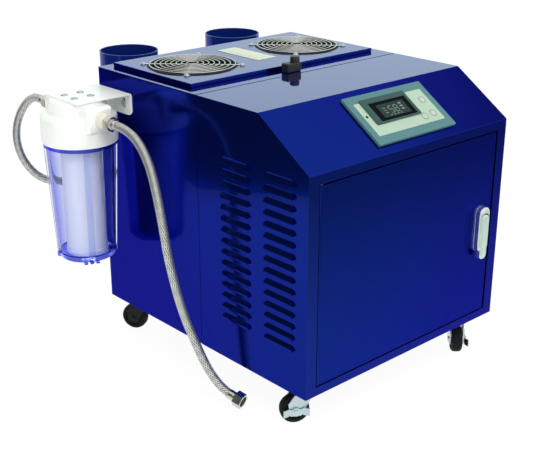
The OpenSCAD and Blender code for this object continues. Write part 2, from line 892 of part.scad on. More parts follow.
module water_tank() {
    color(steel) place() difference() {
        translate([-tank_w / 2, y_tank, z_tank]) cube([tank_w, tank_d, tank_h]);
        translate([-tank_w / 2 + tank_wall, y_tank + tank_wall, z_tank_in])
            cube([tank_w - 2 * tank_wall, tank_d - 2 * tank_wall, tank_h]);
        rod_y(drain_at[0], y_tank + tank_d - 3 * tank_wall, drain_at[1],
            drain_d - 2 * drain_wall, 6 * tank_wall);
    }
}

module mist_generator() {
    pitch = mist_w / mist_heads;
    color(steel) place() translate([0, y_tank + tank_d / 2, z_tank_in]) difference() {
        translate([-mist_w / 2, -mist_d / 2, 0]) cube([mist_w, mist_d, mist_t]);
        for (i = [0 : mist_heads - 1], r = [-1, 1])
            translate([(i - (mist_heads - 1) / 2) * pitch, r * mist_d / 4, mist_t - 6])
                cylinder(d = head_cell_d, h = 12);
    }
}

module inlet_valve() {
    jet_d = 8;
    ear_root = 1;
    ear_l = 14;
    color(white_plastic) place() {
        difference() {
            translate([valve_x - valve_body[0] / 2, y_tank + tank_wall, z_valve]) cube(valve_body);
            translate([valve_x, y_tank + tank_wall + valve_body[1] / 2, z_valve - 1]) cylinder(d = jet_d, h = 20);
        }
        for (s = [-1, 1]) translate([valve_x + s * (float_arm_t / 2 + pass_fit + ear_t / 2) - ear_t / 2,
            y_tank + tank_wall + valve_body[1] - ear_root, z_valve]) difference() {
                cube([ear_t, ear_l, 2 * ear_rise]);
                translate([-1, float_pin_out + ear_root, ear_rise]) rotate([0, 90, 0])
                    cylinder(d = float_pin_d + 2 * run_fit, h = ear_t + 2);
            }
    }
}

// Float on its arm, with the pivot pin in the valve's two ears
module float_arm() {
    y_pin = y_float_pin;
    z_pin = z_valve + ear_rise;
    half = float_arm_t / 2;
    span = float_arm_t + 2 * pass_fit + 2 * ear_t;
    color([0.85, 0.45, 0.10]) place() {
        translate([valve_x - half, y_pin - half, z_pin - half]) cube([float_arm_t, float_arm_l, float_arm_t]);
        translate([valve_x - span / 2, y_pin, z_pin]) rotate([0, 90, 0]) cylinder(d = float_pin_d, h = span);
        translate([valve_x, y_pin + float_arm_l, z_pin]) sphere(d = float_d);
    }
}

module power_supply() {
    psu_d = 110;
    psu_h = 52;
    psu_shift = 40;
    y_psu = y_front + front_d / 2 - psu_shift;
    color(steel) place() translate([-psu_l / 2, y_psu, z_floor_in]) cube([psu_l, psu_d, psu_h]);
}

// Fittings on the rear panel

module water_inlet() {
    color(zinc) place() difference() {
        union() {
            rod_y(inlet_at[0], y_back, inlet_at[1], inlet_d + 8, 4);
            rod_y(inlet_at[0], y_back - sheet - 12, inlet_at[1], inlet_d, 12 + sheet + inlet_l);
        }
        rod_y(inlet_at[0], y_back - sheet - 13, inlet_at[1], inlet_d - 8, 40);
    }
}

module cable_gland() {
    color(dark) place() difference() {
        union() {
            rod_y(gland_at[0], y_back - sheet - 8, gland_at[1], gland_d, 8 + sheet + gland_l);
            hex_y(gland_at[0], y_back, gland_at[1], gland_d + 6, 6);
        }
        rod_y(gland_at[0], y_back - sheet - 9, gland_at[1], gland_bore_d, 20 + gland_l);
    }
}

module drain_spigot() {
    color(zinc) place() difference() {
        union() {
            rod_y(drain_at[0], y_tank + tank_d, drain_at[1], drain_d, y_back - y_tank - tank_d + drain_l);
            rod_y(drain_at[0], y_back, drain_at[1], drain_d + 8, 4);
        }
        rod_y(drain_at[0], y_tank + tank_d - 1, drain_at[1], drain_d - 2 * drain_wall, 2 * drain_l);
    }
}

// Filter

// Bolt through the bracket's flange and the side panel, on side s of the filter axis
module rod_bolt(s) {
    translate([x_left - 2 * bracket_t, y_filter + s * bolt_spread, z_bracket - slot_in]) rotate([0, 90, 0])
        linear_extrude(6 * bracket_t) children();
}

module filter_bracket() {
    reach = filter_out + 34;
    color(white_plastic) place() difference() {
        union() {
            translate([x_left - reach, y_filter - bracket_w / 2, z_bracket - bracket_t])
                cube([reach, bracket_w, bracket_t]);
            translate([x_left - bracket_t, y_filter - bracket_w / 2, z_bracket - bracket_h])
                cube([bracket_t, bracket_w, bracket_h]);
        }
        for (s = [-1, 1]) rod_bolt(s) round_rect(slot_l, slot_w, slot_w / 2 - 0.01);
        at_head_screws() translate([0, 0, -1]) cylinder(d = screw_d + 2 * run_fit, h = 3 * bracket_t);
    }
}

module at_head_screws() {
    for (x = [-16, 16], y = [-16, 16]) translate([x_filter + x, y_filter + y, z_head_top]) children();
}

module bracket_screws() {
    color(zinc) place() {
        at_head_screws() {
            translate([0, 0, bracket_t]) cylinder(d = 2 * screw_head_d, h = screw_head_h);
            translate([0, 0, -10]) cylinder(d = screw_d, h = 10 + bracket_t + 1);
        }
        for (s = [-1, 1]) translate([x_left, y_filter + s * bolt_spread, z_bracket - slot_in]) rotate([0, 90, 0]) {
            translate([0, 0, -bracket_t - bolt_head_h]) cylinder(d = bolt_head_d, h = bolt_head_h);
            translate([0, 0, -bracket_t - 1]) cylinder(d = bolt_d, h = bracket_t + 1 + sheet + 6);
            translate([0, 0, sheet]) cylinder(d = bolt_head_d, h = 4, $fn = 6);
        }
    }
}

module filter_head() {
    r = head_d / 2;
    color(white_plastic) place() translate([x_filter, y_filter, 0]) difference() {
        union() {
            translate([0, 0, z_head]) rotate_extrude() polygon([[0, 0], [r, 0], [r, skirt_h - 5],
                [r - 5, skirt_h], [cap_d / 2, skirt_h], [cap_d / 2 - 4, skirt_h + cap_h], [0, skirt_h + cap_h]]);
            for (s = [-1, 1]) rotate([0, 0, s * 90 + 90]) rod_y(0, 0, z_port, 2 * port_r, port_reach);
        }
        translate([0, 0, z_head - 1]) cylinder(r = r - head_wall, h = neck_h + 3);
        for (s = [-1, 1]) rotate([0, 0, s * 90 + 90])
            rod_y(0, port_reach - 16, z_port, port_bore_d + 2 * run_fit, 20);
        translate([-x_filter, -y_filter, 0]) at_head_screws() translate([0, 0, -12])
            cylinder(d = screw_d + 2 * run_fit, h = 20);
    }
}

module filter_sump() {
    neck_r = head_d / 2 - head_wall - neck_gap;
    r = sump_d / 2;
    foot = sump_foot_d / 2;
    inner = r - sump_wall;
    color(clear_blue, 0.5) place() translate([x_filter, y_filter, z_sump]) {
        rotate_extrude() polygon([[0, 0], [foot - 6, 0], [foot, 6], [r, sump_l - collar_h - 0.5],
            [r, sump_l - collar_h], [head_d / 2 - 2, sump_l - collar_h], [head_d / 2 - 2, sump_l - neck_gap],
            [neck_r, sump_l - neck_gap], [neck_r, sump_l + neck_h - 2], [inner, sump_l + neck_h - 2],
            [inner, sump_l - collar_h], [foot - sump_wall, sump_foot_h + 6],
            [foot - sump_wall - 6, sump_foot_h], [0, sump_foot_h]]);
        for (y = [-14, 0, 14]) translate([y - 3, -foot + 8, -5]) cube([6, 8, 5.5]);
        for (a = [45 : 90 : 315]) rotate([0, 0, a]) translate([foot - 3, -3, 2]) cube([6, 6, 12]);
    }
}

module filter_cartridge() {
    l = sump_l + neck_h - sump_foot_h - 4;
    color("white") place() translate([x_filter, y_filter, z_sump + sump_foot_h]) difference() {
        cylinder(d = cartridge_d, h = l);
        translate([0, 0, -1]) cylinder(d = 28, h = l + 2);
    }
}

// Seal ring in the head, above the sump's neck
module sump_seal() {
    r = head_d / 2 - head_wall - seal_r - pass_fit;
    color(dark) place() translate([x_filter, y_filter, z_head + neck_h + 2 - seal_r])
        rotate_extrude() translate([r, 0]) circle(seal_r, $fn = 24);
}

module at_ports() {
    translate([x_filter, y_filter, z_port]) for (a = [0, 180]) rotate([0, 0, a]) children();
}

module port_adapters() {
    spigot_l = 14;
    color(cream) place() at_ports() {
        rod_y(0, port_reach, 0, adapter_d, adapter_l);
        rod_y(0, port_reach - spigot_l, 0, port_bore_d, spigot_l + 1);
    }
}

module hose_nuts() {
    y_nut = port_reach + adapter_l;
    color(zinc) place() {
        at_ports() {
            hex_y(0, y_nut, 0, nut_af, nut_l);
            rod_y(0, y_nut + nut_l, 0, sleeve_d, sleeve_l);
        }
        hex_y(inlet_at[0], y_back + inlet_l, inlet_at[1], nut_af, nut_l);
    }
}

// Hoses

// Ring of points round a route point, square to the direction d
function across(d) = let (s = cross(d, [0, 0, 1])) norm(s) < 0.01 ? [1, 0, 0] : s / norm(s);
function tube_ring(p, d, r, n) = let (u = across(d), v = cross(u, d / norm(d)))
    [for (k = [0 : n - 1]) p + r * (cos(360 * k / n) * u + sin(360 * k / n) * v)];

// Tube along a route, with end faces square to the first and last direction
module tube(route, first, last, d, n) {
    m = len(route);
    dirs = [for (i = [0 : m - 1]) i == 0 ? first : i == m - 1 ? last : route[i + 1] - route[i - 1]];
    points = [for (i = [0 : m - 1]) each tube_ring(route[i], dirs[i], d / 2, n)];
    sides = [for (i = [0 : m - 2], k = [0 : n - 1], f = [0, 1]) let (a = i * n + k, b = i * n + (k + 1) % n)
        f == 0 ? [a, b, b + n] : [a, b + n, a + n]];
    polyhedron(points, concat([[for (k = [n - 1 : -1 : 0]) k]], sides, [[for (k = [0 : n - 1]) (m - 1) * n + k]]));
}

module supply_hose() {
    color(zinc) place() tube(supply_route, [0, -1, 0], supply_end_dir, hose_d, hose_sides);
}

// Crimp sleeve and loose nut on the free end of the supply hose
module supply_hose_end() {
    d = supply_end_dir / norm(supply_end_dir);
    color(zinc) place() translate(supply_route[len(supply_route) - 1])
        rotate([0, acos(d[2]), atan2(d[1], d[0])]) difference() {
            union() {
                cylinder(d = sleeve_d, h = sleeve_l);
                translate([0, 0, sleeve_l - 1]) rotate([0, 0, 30]) cylinder(d = nut_af / cos(30), h = nut_l + 1, $fn = 6);
            }
            translate([0, 0, sleeve_l + 2]) cylinder(d = 18.6, h = nut_l + 2);
        }
}

module feed_hose() {
    color(zinc) place() tube(feed_route, [0, 1, 0], [0, -1, 0], hose_d, hose_sides);
}

// Castors

module castor_plates() {
    color(zinc) place() for (p = castor_at) translate([p[0], p[1], 0]) {
        translate([-castor_plate_w / 2, -castor_plate_w / 2, z_base - castor_plate_t])
            cube([castor_plate_w, castor_plate_w, castor_plate_t]);
        translate([0, 0, z_race]) cylinder(d = race_d, h = race_h + 1);
        translate([0, 0, z_fork_under - 1]) cylinder(d = king_d, h = race_h + fork_top_t + 2);
        translate([0, 0, z_fork_under - swivel_gap - king_head_h]) cylinder(d = king_head_d, h = king_head_h);
    }
}

// Fork in its own frame: swivel axis at the origin, wheel trailing along +X, axle along Y
module castor_fork(i) {
    leg_l = 26;
    color(zinc) place() translate(castor_at[i]) rotate([0, 0, castor_turn[i]]) {
        difference() {
            translate([0, 0, z_fork_under]) cylinder(d = race_d + 8, h = fork_top_t);
            translate([0, 0, z_fork_under - 1]) cylinder(d = king_d + 2 * run_fit, h = fork_top_t + 2);
        }
        for (s = [-1, 1]) slab_y(s * (fork_half - fork_leg_t / 2) - fork_leg_t / 2, fork_leg_t)
            polygon([[-14, z_fork_under + 1], [14, z_fork_under + 1], [castor_trail + leg_l / 2, wheel_r + 14],
                [castor_trail + 9, wheel_r - 9], [castor_trail - 9, wheel_r - 9]]);
        rod_y(castor_trail, -fork_half - axle_end, wheel_r, axle_d, 2 * fork_half + 2 * axle_end);
        if (i < 2) rod_y(castor_trail, fork_half, wheel_r, axle_d, pass_fit + brake_t + axle_end);
    }
}

module castor_fork_fl() { castor_fork(0); }

module castor_fork_fr() { castor_fork(1); }

module castor_fork_rl() { castor_fork(2); }

module castor_fork_rr() { castor_fork(3); }

module castor_wheel(i) {
    color(dark) place() translate(castor_at[i]) rotate([0, 0, castor_turn[i]])
        translate([castor_trail, 0, wheel_r]) rotate([90, 0, 0]) difference() {
            rotate_extrude() polygon([[0, -wheel_w / 2], [wheel_r - 7, -wheel_w / 2], [wheel_r - 7, -wheel_w / 2 + 2],
                [wheel_r - 2, -wheel_w / 2 + 2], [wheel_r, -wheel_w / 2 + 4], [wheel_r, wheel_w / 2 - 4],
                [wheel_r - 2, wheel_w / 2 - 2], [wheel_r - 7, wheel_w / 2 - 2], [wheel_r - 7, wheel_w / 2],
                [0, wheel_w / 2]]);
            cylinder(d = axle_d + 2 * run_fit, h = 2 * wheel_w, center = true);
        }
}

module castor_wheel_fl() { castor_wheel(0); }

module castor_wheel_fr() { castor_wheel(1); }

module castor_wheel_rl() { castor_wheel(2); }

module castor_wheel_rr() { castor_wheel(3); }

// Brake rocker on the end of the axle: two wings joined by a boss
module castor_brake(i) {
    wing_l = 22;
    wing_h = 13;
    waist_h = 8;
    boss_wall = 6;
    color(zinc) place() translate(castor_at[i]) rotate([0, 0, castor_turn[i]])
        translate([castor_trail, fork_half + pass_fit, wheel_r])
            difference() {
                union() {
                    slab_y(0, brake_t) polygon([[-wing_l, -wing_h / 2], [0, -waist_h / 2], [wing_l, -wing_h / 2],
                        [wing_l, wing_h / 2], [0, waist_h / 2], [-wing_l, wing_h / 2]]);
                    rod_y(0, 0, 0, axle_d + boss_wall, brake_t);
                }
                rod_y(0, -1, 0, axle_d + 2 * run_fit, brake_t + 2);
            }
}

module castor_brake_fl() { castor_brake(0); }

module castor_brake_fr() { castor_brake(1); }

base_pan();
front_frame();
hood_panel();
left_louvre_panel();
right_louvre_panel();
rear_casing();
top_frame();
fan_lid();
bulkhead();
fog_outlet_left();
fog_outlet_right();
fan_guards();
fan_screws();
fan_frames();
fan_rotor_left();
fan_rotor_right();
humidity_sensor();
panel_bezel();
panel_overlay();
display_bezel();
display_window();
button_power();
button_up();
button_down();
control_board();
door();
hinge_pins();
handle_base();
handle_spindle();
handle_lever();
water_tank();
mist_generator();
inlet_valve();
float_arm();
power_supply();
water_inlet();
cable_gland();
drain_spigot();
filter_bracket();
filter_head();
filter_sump();
filter_cartridge();
sump_seal();
port_adapters();
hose_nuts();
bracket_screws();
supply_hose();
supply_hose_end();
feed_hose();
castor_plates();
castor_fork_fl();
castor_fork_fr();
castor_fork_rl();
castor_fork_rr();
castor_wheel_fl();
castor_wheel_fr();
castor_wheel_rl();
castor_wheel_rr();
castor_brake_fl();
castor_brake_fr();
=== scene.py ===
"""Looks of a floor-standing fog humidifier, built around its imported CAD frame.

Lengths are metres in the frame's own axes: the door faces -Y, the water filter hangs on the -X
side and +Z is up.
"""

from __future__ import annotations

import json
import logging
import math
from dataclasses import dataclass
from enum import Enum
from typing import Any, Sequence

import bpy
from mathutils import Matrix, Vector

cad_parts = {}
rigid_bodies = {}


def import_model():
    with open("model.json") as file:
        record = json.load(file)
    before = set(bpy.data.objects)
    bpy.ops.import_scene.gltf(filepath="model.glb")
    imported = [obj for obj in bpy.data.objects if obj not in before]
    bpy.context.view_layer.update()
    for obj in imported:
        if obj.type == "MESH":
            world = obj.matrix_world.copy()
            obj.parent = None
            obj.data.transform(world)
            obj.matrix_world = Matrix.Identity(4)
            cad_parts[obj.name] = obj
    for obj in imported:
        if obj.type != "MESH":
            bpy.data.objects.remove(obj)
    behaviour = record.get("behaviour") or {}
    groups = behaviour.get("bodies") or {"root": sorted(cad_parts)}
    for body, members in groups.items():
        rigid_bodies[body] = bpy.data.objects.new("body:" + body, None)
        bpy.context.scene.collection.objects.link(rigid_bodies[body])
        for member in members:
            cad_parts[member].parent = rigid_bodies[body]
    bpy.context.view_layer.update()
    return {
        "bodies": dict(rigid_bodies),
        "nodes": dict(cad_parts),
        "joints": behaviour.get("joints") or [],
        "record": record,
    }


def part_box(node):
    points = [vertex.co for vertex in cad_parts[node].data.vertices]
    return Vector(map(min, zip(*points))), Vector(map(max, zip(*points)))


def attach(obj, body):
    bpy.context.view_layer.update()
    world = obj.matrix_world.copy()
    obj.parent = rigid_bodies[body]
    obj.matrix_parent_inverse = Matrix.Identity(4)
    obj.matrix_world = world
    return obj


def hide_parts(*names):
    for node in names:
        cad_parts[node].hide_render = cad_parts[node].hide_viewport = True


LOG = logging.getLogger("humidifier")
MM = 0.001

Piece = bpy.types.Object
Point = Sequence[float]
Flat = tuple[float, float]
Triple = tuple[float, float, float]
Profile = Sequence[Flat]
Colour = Triple


class Axis(Enum):
    """Directions that a turned or extruded shape can point along."""

    X = (1.0, 0.0, 0.0)
    Y = (0.0, 1.0, 0.0)
    Z = (0.0, 0.0, 1.0)

    def turn(self) -> Matrix:
        """Returns the rotation that takes +Z to this axis."""
        return Vector((0, 0, 1)).rotation_difference(Vector(self.value)).to_matrix().to_4x4()


# Shader sockets and finishes


class Wire:
    """A shader socket that adds Math nodes when it is used in an expression."""

    def __init__(self, shop: NodeShop, socket: bpy.types.NodeSocket) -> None:
        """Wraps a socket.

        Args:
            shop: The material that the socket belongs to.
            socket: An output socket of one of its nodes.
        """
        self.shop = shop
        self.socket = socket

    def _math(self, operation: str, first: Any, second: Any) -> Wire:
        """Returns the result of a Math node on two values."""
        return self.shop.add("ShaderNodeMath", {"operation": operation}, {0: first, 1: second})

    def __add__(self, other: Any) -> Wire:
        """Returns self + other."""
        return self._math("ADD", self, other)

    def __radd__(self, other: Any) -> Wire:
        """Returns other + self."""
        return self._math("ADD", other, self)

    def __sub__(self, other: Any) -> Wire:
        """Returns self - other."""
        return self._math("SUBTRACT", self, other)

    def __rsub__(self, other: Any) -> Wire:
        """Returns other - self."""
        return self._math("SUBTRACT", other, self)

    def __mul__(self, other: Any) -> Wire:
        """Returns self * other."""
        return self._math("MULTIPLY", self, other)

    def __rmul__(self, other: Any) -> Wire:
        """Returns other * self."""
        return self._math("MULTIPLY", other, self)

    def __gt__(self, other: Any) -> Wire:
        """Returns 1 where self is greater than other, and 0 elsewhere."""
        return self._math("GREATER_THAN", self, other)

    def sibling(self, name: str) -> Wire:
        """Returns another output of the same node."""
        return Wire(self.shop, self.socket.node.outputs[name])

    def wave(self) -> Wire:
        """Returns the sine of self, moved into 0 to 1."""
        return self.shop.add("ShaderNodeMath", {"operation": "SINE"}, {0: self}) * 0.5 + 0.5

    def at_most(self, other: Any) -> Wire:
        """Returns the lesser of self and other."""
        return self._math("MINIMUM", self, other)

    def at_least(self, other: Any) -> Wire:
        """Returns the greater of self and other."""
        return self._math("MAXIMUM", self, other)


class NodeShop:
    """The node tree of one material or world."""

    def __init__(self, tree: bpy.types.NodeTree) -> None:
        """Empties a tree and works in it.

        Args:
            tree: The node tree of a material or of the world.
        """
        self.tree = tree
        tree.nodes.clear()

    def add(
        self,
        kind: str,
        settings: dict[str, Any] | None = None,
        sockets: dict[int | str, Any] | None = None,
        out: int | str = 0,
    ) -> Wire:
        """Adds a node.

        Args:
            kind: Blender's type name of the node.
            settings: Properties to set first.
            sockets: Values or wires for the inputs, by name or number.
            out: The output to return.

        Returns:
            The chosen output.
        """
        node = self.tree.nodes.new(kind)
        for key, value in (settings or {}).items():
            setattr(node, key, value)
        for key, value in (sockets or {}).items():
            if isinstance(value, Wire):
                self.tree.links.new(value.socket, node.inputs[key])
            else:
                node.inputs[key].default_value = value
        return Wire(self, node.outputs[out] if len(node.outputs) else node.inputs[0])

    def place(self, stretch: Point = (1, 1, 1)) -> Wire:
        """Returns Object coordinates, stretched by a Mapping node."""
        coords = self.add("ShaderNodeTexCoord", out="Object")
        return self.add("ShaderNodeMapping", None, {"Vector": coords, "Scale": tuple(stretch)})

    def noise(self, where: Wire, scale: float, detail: float = 3.0) -> Wire:
        """Returns noise from 0 to 1 with features of about 1 / scale metres."""
        sockets = {"Vector": where, "Scale": scale, "Detail": detail}
        return self.add("ShaderNodeTexNoise", None, sockets)

    def blend(self, factor: Wire, low: Colour, high: Colour) -> Wire:
        """Returns a colour between two, by a factor from 0 to 1."""
        sockets = {0: factor, 6: (*low, 1.0), 7: (*high, 1.0)}
        return self.add("ShaderNodeMix", {"data_type": "RGBA"}, sockets, 2)

    def bump(self, height: Wire, depth: float) -> Wire:
        """Returns a normal from heights; depth is the size of a height of 1, in metres."""
        sockets = {"Height": height, "Distance": depth, "Strength": 1.0}
        return self.add("ShaderNodeBump", None, sockets)

    def surface(self, shader: Wire) -> None:
        """Ends the material in a shader."""
        self.add("ShaderNodeOutputMaterial", None, {"Surface": shader})

    def principled(self, sockets: dict[int | str, Any]) -> None:
        """Ends the material in a Principled shader."""
        self.surface(self.add("ShaderNodeBsdfPrincipled", None, sockets))


def new_material(name: str) -> tuple[bpy.types.Material, NodeShop]:
    """Returns a new material and its empty node tree."""
    made = bpy.data.materials.new(name)
    made.use_nodes = True
    return made, NodeShop(made.node_tree)


@dataclass(frozen=True)
class Finish:
    """A surface finish, made once as a procedural material."""

    name: str
    colour: Colour

    def material(self) -> bpy.types.Material:
        """Returns the material of this finish, made on first use."""
        label = f"{self.name}_finish"
        known = bpy.data.materials.get(label)
        if known:
            return known
        made, shop = new_material(label)
        self.lay(shop)
        return made

    def lay(self, shop: NodeShop) -> None:
        """Builds the nodes of the finish."""
        raise NotImplementedError

    def shade(self, share: float) -> Colour:
        """Returns the colour scaled by a share."""
        return tuple(min(1.0, value * share) for value in self.colour)

    def cloudy(self, shop: NodeShop, cloud: Wire, low: float, high: float) -> Wire:
        """Returns the colour, clouded between two shares of it."""
        return shop.blend(cloud, self.shade(low), self.shade(high))

    def on(self, *pieces: Piece) -> None:
        """Puts the finish on whole objects, in place of what they have."""
        for piece in pieces:
            piece.data.materials.clear()
            piece.data.materials.append(self.material())


@dataclass(frozen=True)
class GlossPaint(Finish):
    """Sprayed gloss enamel with a trace of orange peel, and of dust on its level faces."""

    edge: Colour = (0.05, 0.16, 0.85)
    metallic: float = 0.95
    roughness: float = 0.14
    peel: float = 0.000003
    dust: float = 0.95
    film: float = 0.03
    cloud_scale: float = 9.0
    speck_scale: float = 1400.0
    speck_from: float = 0.74
    peel_scale: float = 420.0
    level_from: float = 0.97

    def lay(self, shop: NodeShop) -> None:
        """Builds the nodes of the finish."""
        where = shop.place()
        cloud = shop.noise(where, self.cloud_scale)
        speck = shop.noise(where, self.speck_scale, 2.0) > self.speck_from
        peel = shop.noise(where, self.peel_scale, 1.0)
        facing = shop.add("ShaderNodeNewGeometry", out="Normal")
        level = shop.add("ShaderNodeSeparateXYZ", None, {0: facing}, "Z") > self.level_from
        shop.principled(
            {
                "Base Color": self.cloudy(shop, cloud, 0.94, 1.06),
                "Metallic": self.metallic,
                "Roughness": cloud * 0.02 + speck * 0.12 + self.roughness,
                "Coat Weight": level * self.dust + self.film,
                "Specular Tint": self.edge + (1.0,),
                "Coat Roughness": 0.02,
                "Coat IOR": 2.4,
                "Normal": shop.bump(peel, self.peel),
            }
        )


@dataclass(frozen=True)
class Metal(Finish):
    """Bare or plated metal with fine streaks along one direction."""

    roughness: float = 0.25
    streak: Triple = (60.0, 60.0, 900.0)
    depth: float = 0.000004
    cloud_scale: float = 45.0

    def lay(self, shop: NodeShop) -> None:
        """Builds the nodes of the finish."""
        lines = shop.noise(shop.place(self.streak), 1.0, 4.0)
        cloud = shop.noise(shop.place(), self.cloud_scale)
        shop.principled(
            {
                "Base Color": self.cloudy(shop, cloud, 0.82, 1.08),
                "Metallic": 1.0,
                "Roughness": lines * 0.12 + cloud * 0.10 + (self.roughness - 0.1),
                "Normal": shop.bump(lines, self.depth),
            }
        )


@dataclass(frozen=True)
class Moulded(Finish):
    """Moulded plastic or rubber with a fine grain."""

    roughness: float = 0.35
    grain: float = 700.0
    depth: float = 0.00001
    shine: float = 0.5
    cloud_scale: float = 30.0

    def lay(self, shop: NodeShop) -> None:
        """Builds the nodes of the finish."""
        where = shop.place()
        grain = shop.noise(where, self.grain, 2.0)
        cloud = shop.noise(where, self.cloud_scale)
        shop.principled(
            {
                "Base Color": self.cloudy(shop, cloud, 0.93, 1.05),
                "Roughness": grain * 0.08 + cloud * 0.06 + (self.roughness - 0.07),
                "Specular IOR Level": self.shine,
                "Normal": shop.bump(grain, self.depth),
            }
        )


@dataclass(frozen=True)
class ClearPlastic(Finish):
    """Tinted clear plastic that deepens towards its outline."""

    edge: Colour = (0.10, 0.12, 0.80)
    roughness: float = 0.03
    ior: float = 1.12
    falloff: float = 0.42
    ripple_scale: float = 60.0
    ripple_depth: float = 0.00002

    def lay(self, shop: NodeShop) -> None:
        """Builds the nodes of the finish."""
        ripple = shop.noise(shop.place((1, 1, 0.2)), self.ripple_scale)
        facing = shop.add("ShaderNodeLayerWeight", None, {"Blend": self.falloff}, "Facing")
        shop.principled(
            {
                "Base Color": shop.blend(facing * (ripple * 0.2 + 0.9), self.colour, self.edge),
                "Roughness": ripple * 0.03 + self.roughness,
                "Transmission Weight": 1.0,
                "IOR": self.ior,
                "Normal": shop.bump(ripple, self.ripple_depth),
            }
        )


@dataclass(frozen=True)
class Braid(Finish):
    """Woven wire over a hose: two sets of strands that cross, laid on the hose's UV map; the gaps
    between them hold painted shade.
    """

    turns: float = 60.0
    strands: float = 12.0
    metallic: float = 0.75
    # Share of the colour left in the gaps between strands: painted shade.
    painted_gap_shade: float = 0.08
    depth: float = 0.00025

    def lay(self, shop: NodeShop) -> None:
        """Builds the nodes of the finish."""
        uv = shop.add("ShaderNodeTexCoord", out="UV")
        along = shop.add("ShaderNodeSeparateXYZ", None, {0: uv}, "X")
        across = along.sibling("Y")
        lead = along * (self.turns * math.tau)
        twist = across * (self.strands * math.tau)
        left, right = (lead + twist).wave(), (lead - twist).wave()
        over = (lead * 0.5).wave()
        height = left.at_least(right * (over * 0.3 + 0.7))
        # The base colour darkens where the weave is low, as painted shade between the strands.
        shop.principled(
            {
                "Base Color": shop.blend(height * height, self.shade(self.painted_gap_shade), self.colour),
                "Metallic": self.metallic,
                "Roughness": 0.40 - height * 0.2,
                "Normal": shop.bump(height, self.depth),
            }
        )


@dataclass(frozen=True)
class Glow(Finish):
    """A lit display segment."""

    strength: float = 0.5
    fade_scale: float = 90.0
    unlit: tuple[float, ...] = (0.02, 0.02, 0.02, 1.0)

    def lay(self, shop: NodeShop) -> None:
        """Builds the nodes of the finish."""
        fade = shop.noise(shop.place(), self.fade_scale)
        shop.principled(
            {
                "Base Color": self.unlit,
                "Roughness": 0.4,
                "Emission Color": shop.blend(fade, self.shade(0.8), self.colour),
                "Emission Strength": self.strength,
            }
        )


NAVY = GlossPaint("navy_paint", (0.004, 0.018, 0.228))
FRAME_PAINT = GlossPaint("frame_paint", (0.004, 0.018, 0.228), film=0.05)
PIPE = GlossPaint("pipe_paint", (0.006, 0.022, 0.20), metallic=0.35, dust=0.0)
STAINLESS = Metal("stainless", (0.62, 0.63, 0.64), 0.28)
CHROME = Metal("bright_wire", (0.78, 0.78, 0.77), 0.16, (40, 40, 40), 0.000001)
ZINC = Metal("zinc_plate", (0.58, 0.69, 0.72), 0.30, (80, 80, 80), 0.000003)
HANDLE = Metal("handle_metal", (0.87, 0.91, 0.89), 0.34, (90, 90, 90), 0.000004)
NICKEL = Metal("nickel", (0.66, 0.63, 0.57), 0.20, (70, 70, 70), 0.000002)
BLACK = Moulded("black_plastic", (0.012, 0.012, 0.013), 0.38)
DULL_BLACK = Moulded("dull_black", (0.006, 0.007, 0.007), 0.62, shine=0.25)
RUBBER = Moulded("black_rubber", (0.005, 0.006, 0.006), 0.7, 500.0, 0.00003, 0.2)
WHITE = Moulded("white_plastic", (0.87, 0.90, 0.86), 0.30, 600.0, 0.000006)
CREAM = Moulded("cream_plastic", (0.76, 0.75, 0.61), 0.38)
SHEET = Moulded("key_sheet", (0.376, 0.505, 0.386), 0.38)
PLATE = Moulded("plate_sheet", (0.55, 0.60, 0.47), 0.38)
BEZEL = Moulded("bezel_plastic", (0.072, 0.185, 0.20), 0.40, shine=0.3)
SCREEN = Moulded("screen", (0.001, 0.002, 0.002), 0.12, 80.0, 0.000001, 0.03)
BOARD = Moulded("circuit_board", (0.02, 0.13, 0.05), 0.4)
FIBRE = Moulded("filter_fibre", (0.97, 0.98, 1.0), 0.85, 1500.0, 0.00012)
FLOAT = Moulded("float_plastic", (0.70, 0.26, 0.04), 0.4)
CLEAR = ClearPlastic("clear_blue", (0.93, 0.96, 1.0), (0.06, 0.08, 0.74))
RIB_BLUE = ClearPlastic("rib_blue", (0.84, 0.87, 1.0))
DEEP_BLUE = ClearPlastic("deep_blue", (0.16, 0.20, 0.90))
KEYS = Moulded("key_plastic", (0.44, 0.55, 0.44), 0.4)
PRINT = Moulded("grey_print", (0.22, 0.24, 0.24), 0.5)
FRAME = Moulded("display_frame", (0.036, 0.080, 0.077), 0.35, shine=0.1)
FIELD = Moulded("display_field", (0.018, 0.038, 0.035), 0.25, 80.0, 0.000001, 0.05)
BRAID = Braid("steel_braid", (0.86, 0.88, 0.82))
DIGIT = Glow("display_segment", (0.42, 0.50, 0.46))

CAD_FINISHES: dict[Finish, str] = {
    NAVY: "base_pan front_frame hood_panel left_louvre_panel right_louvre_panel rear_casing "
    "top_frame fan_lid door",
    PIPE: "fog_outlet_left fog_outlet_right",
    STAINLESS: "bulkhead water_tank mist_generator power_supply",
    CHROME: "fan_guards",
    ZINC: "fan_screws bracket_screws hinge_pins castor_plates castor_fork_fl castor_fork_fr "
    "castor_brake_fl castor_brake_fr drain_spigot",
    # The rear castor forks are plated like the front ones; the dull black on them is painted shade.
    DULL_BLACK: "castor_fork_rl castor_fork_rr",
    HANDLE: "handle_base handle_spindle handle_lever",
    BLACK: "fan_frames fan_rotor_left fan_rotor_right humidity_sensor cable_gland display_bezel",
    RUBBER: "castor_wheel_fl castor_wheel_fr castor_wheel_rl castor_wheel_rr sump_seal",
    WHITE: "filter_bracket filter_head inlet_valve button_power button_up button_down",
    CREAM: "port_adapters",
    SHEET: "panel_overlay",
    BEZEL: "panel_bezel",
    SCREEN: "display_window",
    BOARD: "control_board",
    CLEAR: "filter_sump",
    FIBRE: "filter_cartridge",
    FLOAT: "float_arm",
    NICKEL: "hose_nuts supply_hose_end water_inlet",
    BRAID: "supply_hose feed_hose",
}


# Modelling with Blender's operators


def mm(*values: float) -> Vector:
    """Returns a vector of lengths given in millimetres."""
    return Vector([value * MM for value in values])


